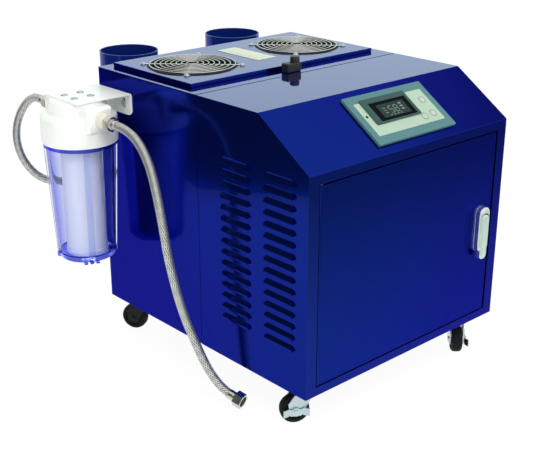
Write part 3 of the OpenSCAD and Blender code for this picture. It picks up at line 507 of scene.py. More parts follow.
def shift(step: Point) -> Matrix:
    """Returns the matrix of a move."""
    return Matrix.Translation(step)


def spin(degrees: float, axis: str) -> Matrix:
    """Returns the matrix of a turn about a main axis."""
    return Matrix.Rotation(math.radians(degrees), 4, axis)


def around(middle: Point, across: float, deep: float) -> list[Flat]:
    """Returns the four corners of a rectangle about a point, in the X-Y plane."""
    return [(middle[0] + x * across, middle[1] + y * deep) for x in (-1, 1) for y in (-1, 1)]


def deselect() -> None:
    """Leaves edit mode and deselects every object."""
    if bpy.context.mode != "OBJECT":
        bpy.ops.object.mode_set(mode="OBJECT")
    bpy.ops.object.select_all(action="DESELECT")


def take(piece: Piece) -> Piece:
    """Returns the piece, selected alone and active."""
    deselect()
    piece.select_set(True)
    bpy.context.view_layer.objects.active = piece
    return piece


def settle(piece: Piece, matrix: Matrix | None = None) -> Piece:
    """Applies a piece's place to its mesh.

    Args:
        piece: The piece to settle.
        matrix: A place to move it to first, from where its mesh is.

    Returns:
        The piece, at the origin, unturned and unscaled.
    """
    take(piece)
    if matrix is not None:
        piece.matrix_world = matrix @ piece.matrix_world
    bpy.ops.object.transform_apply(location=True, rotation=True, scale=True)
    return piece


def modify(piece: Piece, kind: str, **settings: Any) -> Piece:
    """Adds a modifier, sets it and applies it.

    Args:
        piece: The piece to modify.
        kind: Blender's type name of the modifier.
        **settings: Properties of the modifier.

    Returns:
        The piece.
    """
    take(piece)
    bpy.ops.object.modifier_add(type=kind)
    modifier = piece.modifiers[-1]
    for key, value in settings.items():
        setattr(modifier, key, value)
    bpy.ops.object.modifier_apply(modifier=modifier.name)
    return piece


def soften(piece: Piece, width: float, steps: int = 3, angle: float = 40.0) -> Piece:
    """Rounds the sharp edges of a piece and smooths its shading.

    Args:
        piece: The piece to soften.
        width: The width of the rounding.
        steps: The faces across it.
        angle: The least bend of an edge that is rounded, in degrees.

    Returns:
        The piece.
    """
    limit = {"limit_method": "ANGLE", "angle_limit": math.radians(angle)}
    modify(piece, "BEVEL", width=width, segments=steps, miter_outer="MITER_ARC", **limit)
    return smooth(piece)


def smooth(piece: Piece, angle: float = 35.0) -> Piece:
    """Shades a piece smooth where its faces meet at less than an angle in degrees."""
    take(piece)
    bpy.ops.object.shade_smooth_by_angle(angle=math.radians(angle))
    return piece


def combine(piece: Piece, operation: str, others: Sequence[Piece]) -> Piece:
    """Applies other pieces to a piece by a Boolean operation, and removes them."""
    for other in others:
        modify(piece, "BOOLEAN", operation=operation, object=other, solver="EXACT")
        bpy.data.objects.remove(other)
    return piece


def carve(piece: Piece, *cutters: Piece) -> Piece:
    """Cuts other pieces out of a piece."""
    return combine(piece, "DIFFERENCE", cutters)


def weld(piece: Piece, *others: Piece) -> Piece:
    """Unites other pieces with a piece into one closed shape."""
    return combine(piece, "UNION", others)


def join(name: str, pieces: Sequence[Piece]) -> Piece:
    """Joins separate pieces into one object of that name."""
    deselect()
    for piece in pieces:
        piece.select_set(True)
    bpy.context.view_layer.objects.active = pieces[0]
    bpy.ops.object.join()
    return named(name)


def named(name: str) -> Piece:
    """Returns the active object under a new name."""
    piece = bpy.context.active_object
    piece.name = name
    piece.data.name = name
    return piece


def copy_of(piece: Piece, name: str, matrix: Matrix) -> Piece:
    """Returns a copy with its own mesh, moved by a matrix."""
    take(piece)
    bpy.ops.object.duplicate(linked=False)
    return settle(named(name), matrix)


def block(name: str, low: Point, high: Point) -> Piece:
    """Returns a cube primitive stretched between two corners."""
    deselect()
    low, high = Vector(low), Vector(high)
    bpy.ops.mesh.primitive_cube_add(size=1.0, location=(low + high) / 2)
    piece = named(name)
    piece.scale = high - low
    return settle(piece)


def rod(
    name: str, foot: Point, radius: float, length: float, axis: Axis = Axis.Z, sides: int = 48
) -> Piece:
    """Returns a cylinder primitive.

    Args:
        name: The name of the new object.
        foot: The middle of the end that it starts from.
        radius: Its radius.
        length: Its length.
        axis: The direction that it points along.
        sides: The faces round it.

    Returns:
        The new object.
    """
    deselect()
    middle = Vector(foot) + Vector(axis.value) * (length / 2)
    place = {"location": middle, "rotation": axis.turn().to_euler()}
    bpy.ops.mesh.primitive_cylinder_add(vertices=sides, radius=radius, depth=length, **place)
    return settle(named(name))


def line(name: str, points: Sequence[Point], closed: bool) -> Piece:
    """Draws a chain of edges, vertex by vertex.

    Args:
        name: The name of the new object.
        points: The corners of the chain.
        closed: Whether the last point joins the first.

    Returns:
        The new object, with its vertices selected and edit mode on.
    """
    deselect()
    bpy.ops.mesh.primitive_plane_add(size=1.0, location=points[0])
    piece = settle(named(name))
    bpy.ops.object.mode_set(mode="EDIT")
    bpy.ops.mesh.select_all(action="SELECT")
    bpy.ops.mesh.merge(type="CENTER")
    for here, there in zip(points, points[1:]):
        step = Vector(there) - Vector(here)
        bpy.ops.mesh.extrude_vertices_move(TRANSFORM_OT_translate={"value": step})
    bpy.ops.mesh.select_all(action="SELECT")
    if closed:
        bpy.ops.mesh.edge_face_add()
    return piece


def close_mesh(merge: float = 0.0) -> None:
    """Turns the normals of the mesh in edit mode outwards and leaves edit mode.

    Args:
        merge: The distance below which vertices are merged first, if any.
    """
    bpy.ops.mesh.select_all(action="SELECT")
    if merge:
        bpy.ops.mesh.remove_doubles(threshold=merge)
    bpy.ops.mesh.normals_make_consistent(inside=False)
    bpy.ops.object.mode_set(mode="OBJECT")


def plate(name: str, outline: Sequence[Point], step: Point) -> Piece:
    """Returns an outline extruded by a step."""
    piece = line(name, outline, True)
    bpy.ops.mesh.extrude_region_move(TRANSFORM_OT_translate={"value": Vector(step)})
    close_mesh()
    return piece


def slab(
    name: str, size: Flat, radius: float, low: float, high: float, at: Flat = (0.0, 0.0)
) -> Piece:
    """Returns a flat block with round upright corners.

    Args:
        name: The name of the new object.
        size: Its width and depth.
        radius: The radius of its corners.
        low: The height of its underside.
        high: The height of its top.
        at: Its middle in the X-Y plane.

    Returns:
        The new object.
    """
    piece = plate(name, round_outline(*size, radius), (0, 0, high - low))
    return settle(piece, shift((*at, low)))


def turned(name: str, profile: Profile, steps: int = 48) -> Piece:
    """Returns a profile of (radius, height) spun about the Z axis at the origin."""
    piece = line(name, [(radius, 0.0, height) for radius, height in profile], False)
    bpy.ops.mesh.spin(steps=steps, angle=math.tau, center=(0, 0, 0), axis=(0, 0, 1))
    close_mesh(0.02 * MM)
    return smooth(piece)


def turned_mm(name: str, profile: Profile, steps: int = 48) -> Piece:
    """Returns a turned piece from a profile in millimetres."""
    return turned(name, [(radius * MM, height * MM) for radius, height in profile], steps)


def round_outline(width: float, height: float, radius: float, steps: int = 8) -> list[Triple]:
    """Draws a rectangle with round corners about the origin of the X-Y plane.

    Args:
        width: Its size along X.
        height: Its size along Y.
        radius: The radius of its corners.
        steps: The edges on one corner.

    Returns:
        The points of the outline.
    """
    points = []
    for corner in range(4):
        x = (width / 2 - radius) * (1 if corner in (0, 3) else -1)
        y = (height / 2 - radius) * (1 if corner in (0, 1) else -1)
        for step in range(steps + 1):
            angle = math.radians(90 * corner + 90 * step / steps)
            points.append((x + radius * math.cos(angle), y + radius * math.sin(angle), 0.0))
    return points


def rounded_path(corners: Sequence[Flat], radii: Sequence[float], steps: int = 6) -> list[Flat]:
    """Rounds the corners of a closed flat outline.

    Args:
        corners: The outline's corners in order.
        radii: The radius at each corner, 0 where it stays sharp.
        steps: The edges on one rounded corner.

    Returns:
        The rounded outline.
    """
    rounded = []
    count = len(corners)
    for index, radius in enumerate(radii):
        here = Vector(corners[index])
        before = (Vector(corners[index - 1]) - here).normalized()
        after = (Vector(corners[(index + 1) % count]) - here).normalized()
        if radius <= 0:
            rounded.append(tuple(here))
            continue
        half = before.angle(after) / 2
        middle = here + (before + after).normalized() * (radius / math.sin(half))
        start = here + before * (radius / math.tan(half)) - middle
        end = here + after * (radius / math.tan(half)) - middle
        first = math.atan2(start.y, start.x)
        sweep = math.remainder(math.atan2(end.y, end.x) - first, math.tau)
        for step in range(steps + 1):
            angle = first + sweep * step / steps
            x, y = radius * math.cos(angle), radius * math.sin(angle)
            rounded.append((middle.x + x, middle.y + y))
    return rounded


def span(*nodes: str) -> tuple[Vector, Vector]:
    """Returns the lowest and highest corner of some CAD nodes together."""
    boxes = [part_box(node) for node in nodes]
    low = Vector([min(box[0][i] for box in boxes) for i in range(3)])
    high = Vector([max(box[1][i] for box in boxes) for i in range(3)])
    return low, high


def fit(piece: Piece, finish: Finish, body: str, slot: str, *nodes: str) -> Piece:
    """Dresses a finished piece and ties it to the frame.

    Args:
        piece: The piece, in place.
        finish: Its finish, which replaces what it has.
        body: The CAD body that it moves with.
        slot: The record's material slot of its finish; not used.
        *nodes: The CAD nodes that it stands for.

    Returns:
        The piece.
    """
    if not piece.data.polygons:
        raise ValueError(f"{piece.name} has no faces")
    modify(piece, "WEIGHTED_NORMAL", keep_sharp=True)
    finish.on(piece)
    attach(piece, body)
    if nodes:
        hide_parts(*nodes)
    LOG.info("%s rides on %s", piece.name, body)
    return piece


# Sub-assemblies


@dataclass
class Hose:
    """A braided water hose through chosen points.

    The points are millimetres in the axes of the part's source, and the offset, also in
    millimetres, takes them into the frame.
    """

    name: str
    route: tuple[Triple, ...]
    length: float
    far_end: str
    with_nodes: tuple[str, ...] = ()
    diameter: float = 15 * MM
    offset: Triple = (69.75, -49.4, 0.0)
    fineness: int = 6
    facets: int = 6
    smooth_angle: float = 60.0

    def path(self) -> list[Vector]:
        """Returns close points on a smooth curve through the route, in metres."""
        knots = [(Vector(point) + Vector(self.offset)) * MM for point in self.route]
        ends = [2 * knots[0] - knots[1], *knots, 2 * knots[-1] - knots[-2]]
        points = []
        for a, b, c, d in zip(ends, ends[1:], ends[2:], ends[3:]):
            for step in range(self.fineness):
                t = step / self.fineness
                square = (2 * a - 5 * b + 4 * c - d) * t**2
                cube = (3 * b - a - 3 * c + d) * t**3
                points.append(0.5 * (2 * b + (c - a) * t + square + cube))
        return [*points, knots[-1]]

    def build(self) -> Piece:
        """Returns the hose as a mesh tube with its own UV map."""
        path = self.path()
        curve = bpy.data.curves.new(self.name + "_line", "CURVE")
        curve.dimensions = "3D"
        curve.bevel_depth = self.diameter / 2
        curve.bevel_resolution = self.facets
        curve.use_fill_caps = True
        spline = curve.splines.new("POLY")
        spline.points.add(len(path) - 1)
        for point, place in zip(spline.points, path):
            point.co = (*place, 1.0)
        tube = bpy.data.objects.new(self.name + "_braided", curve)
        bpy.context.scene.collection.objects.link(tube)
        take(tube)
        bpy.ops.object.convert(target="MESH")
        smooth(tube, self.smooth_angle)
        fit(tube, BRAID, "cabinet", "steel_braid", self.name)
        measured = sum((b - a).length for a, b in zip(path, path[1:]))
        LOG.info("%s is %.3f m long", self.name, measured)
        return tube


@dataclass(frozen=True)
class Card:
    """A glowing card that shows only in glossy reflections.

    The glow is two (place, strength) pairs along the axis, in metres.
    """

    name: str
    axis: Axis
    corners: tuple[Triple, ...]
    glow: tuple[Flat, Flat]
    tint: tuple[float, ...] = (0.91, 1.13, 1.01, 1)

    def build(self) -> None:
        """Adds the card to the stage."""
        card = line(self.name, self.corners, True)
        bpy.ops.object.mode_set(mode="OBJECT")
        (start, low), (end, high) = self.glow
        made, shop = new_material(self.name)
        place = shop.add("ShaderNodeSeparateXYZ", None, {0: shop.place()}, self.axis.name)
        share = ((place - start) * (1 / (end - start))).at_most(1.0).at_least(0.0)
        glow = {"Color": self.tint, "Strength": share * (high - low) + low}
        shop.surface(shop.add("ShaderNodeEmission", None, glow))
        card.data.materials.append(made)
        card.visible_camera = False
        card.visible_diffuse = False
        card.visible_shadow = False
        card.visible_transmission = False


def upright(near: Flat, far: Flat, low: float, high: float) -> tuple[Triple, ...]:
    """Returns the corners of an upright card between two points of the floor plan."""
    return (*near, low), (*far, low), (*far, high), (*near, high)


SIDE_GLOW = ((-1.0, 0.10), (1.0, 0.10))
BACK_GLOW = ((0.6, 0.86), (2.9, 0.86))
ROOF_GLOW = ((2.4, 0.32), (3.5, 0.95))
CARDS = (
    Card("side_card", Axis.X, upright((-1.823, -0.694), (-0.812, 0.757), 0.0, 1.6), SIDE_GLOW),
    Card("rear_card", Axis.X, upright((-0.812, 0.757), (-1.1, 1.7), 0.0, 1.6), SIDE_GLOW),
    Card(
        "front_card",
        Axis.Y,
        ((-0.9, -2.4, 0.003), (2.6, -2.4, 0.003), (2.6, -0.42, 0.003), (-0.9, -0.42, 0.003)),
        ((-1.15, 0.32), (-0.45, 0.95)),
    ),
    Card("back_card", Axis.X, upright((-0.6, 4.1), (4.4, -0.9), 0.5, 1.9), BACK_GLOW),
    Card("roof_card", Axis.Z, upright((3.2, -2.0), (3.2, 2.0), 2.0, 6.0), ROOF_GLOW),
)


@dataclass
class Studio:
    """The camera, the lamps, the world and the floor."""

    camera_at: Triple = (-1.16325, -1.3224, 0.917)
    azimuth: float = -42.2
    elevation: float = 21.5
    lens: float = 69.4
    floor_size: float = 8.0
    floor_colour: tuple[float, ...] = (0.9, 0.9, 0.9, 1.0)
    floor_glow: float = 1.02
    floor_share: float = 0.93
    sky: float = 0.8
    white: tuple[float, ...] = (1, 1, 1, 1)
    aim: Triple = (0.05, 0.0, 0.3)
    lamps: tuple[tuple[str, Triple, float, float], ...] = (
        ("key", (-1.2, -1.9, 2.4), 1.6, 42.0),
        ("fill", (1.9, -1.4, 1.5), 1.4, 14.0),
        ("back", (1.3, 1.7, 1.1), 1.8, 26.0),
    )

    def place_camera(self) -> None:
        """Adds the camera at the photograph's viewing angle."""
        side, rise = math.radians(self.azimuth), math.radians(self.elevation)
        level = math.cos(rise)
        back = Vector((math.sin(side) * level, -math.cos(side) * level, math.sin(rise)))
        data = bpy.data.cameras.new("view")
        data.lens = self.lens
        camera = bpy.data.objects.new("view", data)
        camera.location = self.camera_at
        camera.rotation_euler = back.to_track_quat("Z", "Y").to_euler()
        bpy.context.scene.collection.objects.link(camera)
        bpy.context.scene.camera = camera

    def light(self) -> None:
        """Adds the world, the floor, the lamps and the cards."""
        bpy.context.scene.view_settings.view_transform = "Standard"
        self._world()
        self._floor()
        for lamp in self.lamps:
            self._lamp(*lamp)
        for card in CARDS:
            card.build()

    def _world(self) -> None:
        """Makes the world white to the eye and in reflections, and softer as a light."""
        world = bpy.data.worlds.new("studio")
        bpy.context.scene.world = world
        world.use_nodes = True
        shop = NodeShop(world.node_tree)
        strength = self._seen(shop) * (1 - self.sky) + self.sky
        shade = shop.add("ShaderNodeBackground", None, {"Color": self.white, "Strength": strength})
        shop.add("ShaderNodeOutputWorld", None, {"Surface": shade})

    @staticmethod
    def _seen(shop: NodeShop) -> Wire:
        """Returns 1 for camera, glossy and transmitted rays, and 0 for others."""
        rays = shop.add("ShaderNodeLightPath", out="Is Camera Ray")
        glossy, through = rays.sibling("Is Glossy Ray"), rays.sibling("Is Transmission Ray")
        return rays.at_least(glossy).at_least(through)

    def _floor(self) -> None:
        """Adds a plain white floor that keeps the object's shadow."""
        deselect()
        bpy.ops.mesh.primitive_plane_add(size=self.floor_size, location=(0, 0, 0))
        floor = named("floor")
        made, shop = new_material("floor")
        matt = shop.add("ShaderNodeBsdfDiffuse", None, {"Color": self.floor_colour})
        light = {"Color": self.white, "Strength": self.floor_glow}
        glow = shop.add("ShaderNodeEmission", None, light)
        share = self._seen(shop) * self.floor_share
        shop.surface(shop.add("ShaderNodeMixShader", None, {0: share, 1: matt, 2: glow}))
        floor.data.materials.append(made)

    def _lamp(self, name: str, place: Point, size: float, power: float) -> None:
        """Adds a soft square lamp that faces the middle of the object."""
        data = bpy.data.lights.new(name, "AREA")
        data.size = size
        data.energy = power
        lamp = bpy.data.objects.new(name, data)
        lamp.location = place
        aim = Vector(self.aim) - Vector(place)
        lamp.rotation_euler = aim.to_track_quat("-Z", "Y").to_euler()
        lamp.visible_glossy = False
        bpy.context.scene.collection.objects.link(lamp)


@dataclass
class CabinetShell:
    """The folded sheet panels of the cabinet, with soft bends and edges."""

    sheet: float = 1.5 * MM
    front_height: float = 372 * MM
    slope_run: float = 112 * MM
    nose: float = 4 * MM
    bend: float = 3 * MM
    edge: float = 0.7 * MM
    seam_edge: float = 0.9 * MM
    seam_gap: float = 1.2 * MM
    top_gap: float = 2.4 * MM
    frame_side: float = 22 * MM
    frame_top: float = 17 * MM
    frame_low: float = 15 * MM
    frame_return: float = 20 * MM
    frame_edge: float = 1.3 * MM
    cutout: Flat = (35 * MM, 30 * MM)
    fog_bore: float = 105 * MM
    fog_cut: float = 20 * MM
    lid_lap: float = 14 * MM
    lid_edge: float = 1.4 * MM
    fan_bore: float = 146 * MM
    past: float = 50 * MM

    def __post_init__(self) -> None:
        """Reads the cabinet's planes from the frame."""
        self.low, self.high = span("front_frame", "rear_casing", "top_frame")
        self.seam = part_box("rear_casing")[0].y
        self.brow = self.low.z + self.front_height

    def build(self) -> None:
        """Builds every panel."""
        self._hood()
        self._frame()
        self._rear()
        self._top()
        self._lid()

    def _hood(self) -> None:
        """Builds the hood: flat top strip, slope and a short fold over the front."""
        front, top, t = self.low.y, self.high.z, self.sheet
        slope = math.atan((top - self.brow) / self.slope_run)
        inner_brow = self.brow - t / math.cos(slope) + t * math.tan(slope)
        inner_crest = front + self.slope_run + t * math.tan(slope / 2)
        corners = [
            (self.seam, top),
            (front + self.slope_run, top),
            (front, self.brow),
            (front, self.brow - self.nose),
            (front + t, self.brow - self.nose),
            (front + t, inner_brow),
            (inner_crest, top - t),
            (self.seam, top - t),
        ]
        radii = [0, self.bend, self.bend - 0.5 * MM, 0, 0, 1 * MM, self.bend / 2, 0]
        outline = [(self.low.x, y, z) for y, z in rounded_path(corners, radii)]
        hood = plate("hood", outline, (self.high.x - self.low.x, 0, 0))
        soften(hood, self.seam_edge / 1.5, 2, 50.0)
        board_low, board_high = span("control_board")
        reach = Vector(((board_high.x - board_low.x) / 2, *self.cutout))
        place = shift((board_low + board_high) / 2) @ Matrix.Rotation(slope, 4, "X")
        cutter = settle(block("cutout", -reach, reach), place)
        fit(carve(hood, cutter), NAVY, "cabinet", "navy_paint", "hood_panel")

    def _frame(self) -> None:
        """Builds the front frame with its return round the door."""
        low, high, t = self.low, self.high, self.sheet
        hole_low = Vector((low.x + self.frame_side, low.y, low.z + self.frame_low))
        hole_high = Vector((high.x - self.frame_side, low.y, self.brow - self.frame_top))
        frame = block("front_surround", low, (high.x, low.y + t, self.brow - self.nose))
        rim, fold = Vector((t, 0, t)), Vector((0, self.frame_return, 0))
        flange = block("flange", hole_low - rim, hole_high + rim + fold)
        past = Vector((0, self.past, 0))
        carve(weld(frame, flange), block("opening", hole_low - past, hole_high + past))
        fit(soften(frame, self.frame_edge, 4), FRAME_PAINT, "cabinet", "navy_paint", "front_frame")

    def _rear(self) -> None:
        """Builds the rear casing as one folded sheet, with the two fog holes."""
        low, high, t, r = self.low, self.high, self.sheet, self.bend
        start = self.seam + self.seam_gap
        corners = [
            (low.x, start),
            (low.x, high.y),
            (high.x, high.y),
            (high.x, start),
            (high.x - t, start),
            (high.x - t, high.y - t),
            (low.x + t, high.y - t),
            (low.x + t, start),
        ]
        path = rounded_path(corners, [0, r, r, 0, 0, r - t, r - t, 0])
        casing = plate("rear_shell", [(x, y, low.z) for x, y in path], (0, 0, high.z - t - low.z))
        for node in ("fog_outlet_left", "fog_outlet_right"):
            pipe_low, pipe_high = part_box(node)
            flange = (pipe_high.x - pipe_low.x) / 2
            hole = (pipe_low + pipe_high).x / 2, high.y - self.fog_cut / 2, pipe_low.z + flange
            carve(casing, rod("fog_hole", hole, self.fog_bore / 2, self.fog_cut, Axis.Y))
        fit(soften(casing, self.seam_edge, 2, 50), NAVY, "cabinet", "navy_paint", "rear_casing")

    def _top(self) -> None:
        """Builds the flat frame round the fan lid."""
        low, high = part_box("top_frame")
        lid_low, lid_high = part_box("fan_lid")
        lap = Vector((self.lid_lap, self.lid_lap, -self.past))
        top = block("top_surround", low + Vector((0, self.top_gap, 0)), high)
        carve(top, block("opening", lid_low + lap, lid_high - lap))
        fit(soften(top, self.edge, 2), NAVY, "cabinet", "navy_paint", "top_frame")

    def _lid(self) -> None:
        """Builds the raised pan that carries the fans."""
        low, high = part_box("fan_lid")
        t = self.sheet
        lid = soften(block("lid_pan", low, high), self.lid_edge)
        carve(lid, block("inside", low + Vector((t, t, -10 * MM)), high - Vector((t, t, t))))
        for node in ("fan_rotor_left", "fan_rotor_right"):
            middle = sum(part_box(node), Vector()) / 2
            foot = (middle.x, middle.y, low.z)
            carve(lid, rod("bore", foot, self.fan_bore / 2, self.past, sides=96))
        fit(smooth(lid), NAVY, "cabinet", "navy_paint", "fan_lid")


@dataclass
class FanDeck:
    """Wire guards on black seats, their screws, the hub caps and the pale plate on the lid."""

    guard_radius: float = 77 * MM
    wire: float = 2.0 * MM
    rings: int = 8
    ring_pitch: float = 9.4 * MM
    dome: float = 1.2 * MM
    eye_radius: float = 4.2 * MM
    hole_reach: float = 62 * MM
    seat_bore: float = 73.2 * MM
    seat_radius: float = 80.5 * MM
    seat_depth: float = 0.5 * MM
    hub_radius: float = 27 * MM
    plate_at: Flat = (75.75 * MM, 99.6 * MM)
    plate_size: Flat = (44 * MM, 115 * MM)

    def build(self) -> None:
        """Builds both fans' visible parts and the plate."""
        self.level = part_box("fan_lid")[1].z
        guards, seats, screws = [], [], []
        for side in ("left", "right"):
            low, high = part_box(f"fan_rotor_{side}")
            middle = (low + high) / 2
            guards.append(self._guard(middle))
            seats.append(self._seat(middle))
            screws.extend(self._screws(middle))
            self._cap(side, (middle.x, middle.y, high.z))
        fit(join("guard_seats", seats), DULL_BLACK, "cabinet", "black_plastic")
        fit(join("wire_guards", guards), CHROME, "cabinet", "bright_wire", "fan_guards")
        fit(join("guard_screws", screws), ZINC, "cabinet", "zinc", "fan_screws")
        self._plate()

    def _guard(self, middle: Vector) -> Piece:
        """Returns one guard: domed rings over four spokes that end in eyes."""
        parts = []
        for index in range(self.rings):
            radius = self.guard_radius - self.wire / 2 - index * self.ring_pitch
            rise = self.dome * math.sin(math.pi / 2 * index / (self.rings - 1))
            place = (middle.x, middle.y, self.level + 1.3 * self.wire + rise)
            parts.append(self._ring(place, radius))
        for x, y in around(middle, self.hole_reach, self.hole_reach):
            eye = Vector((x, y, self.level + self.wire / 2))
            parts.append(self._ring(eye, self.eye_radius, 20))
            parts.append(self._spoke(eye, Vector((middle.x, middle.y, eye.z))))
        return join("guard", parts)

    def _seat(self, middle: Vector) -> Piece:
        """Returns the flat black ring that lies between a guard and the lid."""
        inner, outer, top = self.seat_bore, self.seat_radius, self.seat_depth
        rim = [(outer - top / 2, top), (outer, top / 2), (outer, 0)]
        seat = turned("seat", [(inner, 0), (inner, top), *rim, (inner, 0)], 96)
        return settle(seat, shift((middle.x, middle.y, self.level)))

    def _ring(self, place: Point, radius: float, steps: int = 72) -> Piece:
        """Returns a closed loop of round wire."""
        deselect()
        bpy.ops.mesh.primitive_torus_add(
            location=place,
            major_radius=radius,
            minor_radius=self.wire / 2,
            major_segments=steps,
            minor_segments=8,
        )
        return smooth(settle(named("ring")), 80.0)

    def _spoke(self, eye: Vector, middle: Vector) -> Piece:
        """Returns a straight wire from an eye to the innermost ring."""
        inward = (middle - eye).normalized()
        start = eye + inward * self.eye_radius
        end = middle - inward * (self.guard_radius - (self.rings - 1) * self.ring_pitch - self.wire)
        spoke = rod("spoke", (0, 0, 0), self.wire / 2, (end - start).length, sides=10)
        turn = Vector((0, 0, 1)).rotation_difference(inward).to_matrix().to_4x4()
        return smooth(settle(spoke, shift(start) @ turn), 60.0)

    def _screws(self, middle: Vector) -> list[Piece]:
        """Returns the four round-headed screws of one guard."""
        profile = [(0, 2.6), (2, 2.4), (3.5, 1.5), (4, 0), (2, -0.5), (2, -14), (0, -14)]
        head = turned_mm("screw", profile, 24)
        for turn in (0, 90):
            slot = block("slot", mm(-2.2, -0.4, 1.4), mm(2.2, 0.4, 4))
            carve(head, settle(slot, spin(turn, "Z")))
        copies = []
        for x, y in around(middle, self.hole_reach, self.hole_reach):
            copies.append(copy_of(head, "screw", shift((x, y, self.level + self.wire))))
        bpy.data.objects.remove(head)
        return copies

    def _cap(self, side: str, place: Point) -> None:
        """Builds the pressed cap on a fan's hub, which turns with it."""
        r, low, high, under = self.hub_radius, 0.6 * MM, 1.2 * MM, -1 * MM
        face = [(0, high), (r * 0.35, high), (r * 0.4, low), (r * 0.86, low), (r, 0.0)]
        cap = settle(turned(f"fan_cap_{side}", [*face, (r, under), (0, under)]), shift(place))
        fit(cap, BLACK, f"fan_{side}", "black_plastic")

    def _plate(self) -> None:
        """Builds the bare pale plate between the fans, with its raised field."""
        width, depth = self.plate_size
        base = plate("plate", round_outline(width, depth, 1.5 * MM, 4), mm(0, 0, 0.8))
        soften(base, 0.2 * MM, 2)
        field = plate("field", round_outline(width * 0.62, depth * 0.66, 1 * MM, 4), mm(0, 0, 0.5))
        settle(field, shift(mm(0, -4, 0.6)))
        both = join("bare_plate", [base, field])
        place = shift((*self.plate_at, self.level))
        fit(settle(both, place), PLATE, "cabinet", "cream_plastic")


@dataclass
class SupplyBox:
    """The power supply in the electrics bay: a vented case with a terminal strip in front."""

    edge: float = 1.2 * MM
    ends: float = 12 * MM
    step: float = 22 * MM
    sill: float = 20 * MM
    vent: float = 2.6 * MM
    vent_pitch: float = 9 * MM
    vent_rows: int = 7
    terminals: int = 9
    strip_height: float = 12 * MM
    rib: float = 1.2 * MM

    def build(self) -> None:
        """Builds the case and its strip."""
        self.low, self.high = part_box("power_supply")
        self._case()
        self._strip()

    def _case(self) -> None:
        """Builds the folded case, stepped along its front, with rows of vents in its cover."""
        low, high = self.low, self.high
        case = soften(block("supply_case", low, high), self.edge)
        start = low + Vector((self.ends, -self.step, self.sill))
        end = Vector((high.x - self.ends, low.y + self.step, high.z + self.sill))
        carve(case, block("step", start, end))
        middle = (low.x + high.x) / 2
        columns = int((high.x - low.x - 2 * self.ends) / self.vent_pitch)
        vents = []
        for column in range(columns):
            x = middle + (column - (columns - 1) / 2) * self.vent_pitch
            for row in range(self.vent_rows):
                y = high.y - self.ends - row * self.vent_pitch
                foot = (x, y, high.z - self.edge)
                vents.append(rod("vent", foot, self.vent, self.ends, sides=12))
        carve(case, join("vents", vents))
        fit(case, STAINLESS, "cabinet", "stainless", "power_supply")

    def _strip(self) -> None:
        """Builds the black terminal strip with its ribs, and a screw at each terminal."""
        low, high = self.low, self.high
        level = low.z + self.sill
        deck, top = level + self.strip_height, level + self.strip_height + 6 * self.rib
        start, end = low.x + self.ends + self.edge, high.x - self.ends - self.edge
        front, back = low.y + 2 * self.edge, low.y + self.step - self.edge
        pitch = (end - start) / self.terminals
        parts = [soften(block("bar", (start, front, level), (end, back, deck)), self.edge / 2, 2)]
        screws = []
        for index in range(self.terminals + 1):
            x = min(start + index * pitch, end - self.rib)
            rib = block("rib", (x, front, level), (x + self.rib, back, top))
            parts.append(soften(rib, self.rib / 4, 2))
        profile = [(0, 2.2), (2.6, 2), (3.6, 1.2), (3.8, 0), (0, 0)]
        for index in range(self.terminals):
            place = start + (index + 0.5) * pitch + self.rib / 2, (front + back) / 2, deck
            slot = block("slot", mm(-5, -0.5, 1.2), mm(5, 0.5, 4))
            screw = carve(turned_mm("screw", profile, 20), slot)
            screws.append(settle(screw, shift(place)))
        fit(join("terminal_strip", parts), BLACK, "cabinet", "black_plastic")
        fit(join("terminal_screws", screws), ZINC, "cabinet", "zinc")


@dataclass
class Sensor:
    """The small black humidity sensor on the strip in front of the lid."""

    height: float = 16 * MM
    edge: float = 2.5 * MM
    cap_radius: float = 8.5 * MM

    def build(self) -> None:
        """Builds the block and its round cap."""
        low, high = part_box("humidity_sensor")
        base = block("humidity_probe", low, (high.x, high.y, low.z + self.height))
        soften(base, self.edge)
        r, top, foot = self.cap_radius, high.z - low.z, 2 * MM
        shoulder = [(r, top - 2 * MM), (r - 0.6 * MM, top - 0.7 * MM), (r - 2 * MM, top)]
        cap = turned("cap", [(0, foot), (r, foot), *shoulder, (0, top)])
        settle(cap, shift((high.x - r, (low.y + high.y) / 2, low.z)))
        fit(smooth(weld(base, cap)), BLACK, "cabinet", "black_plastic", "humidity_sensor")


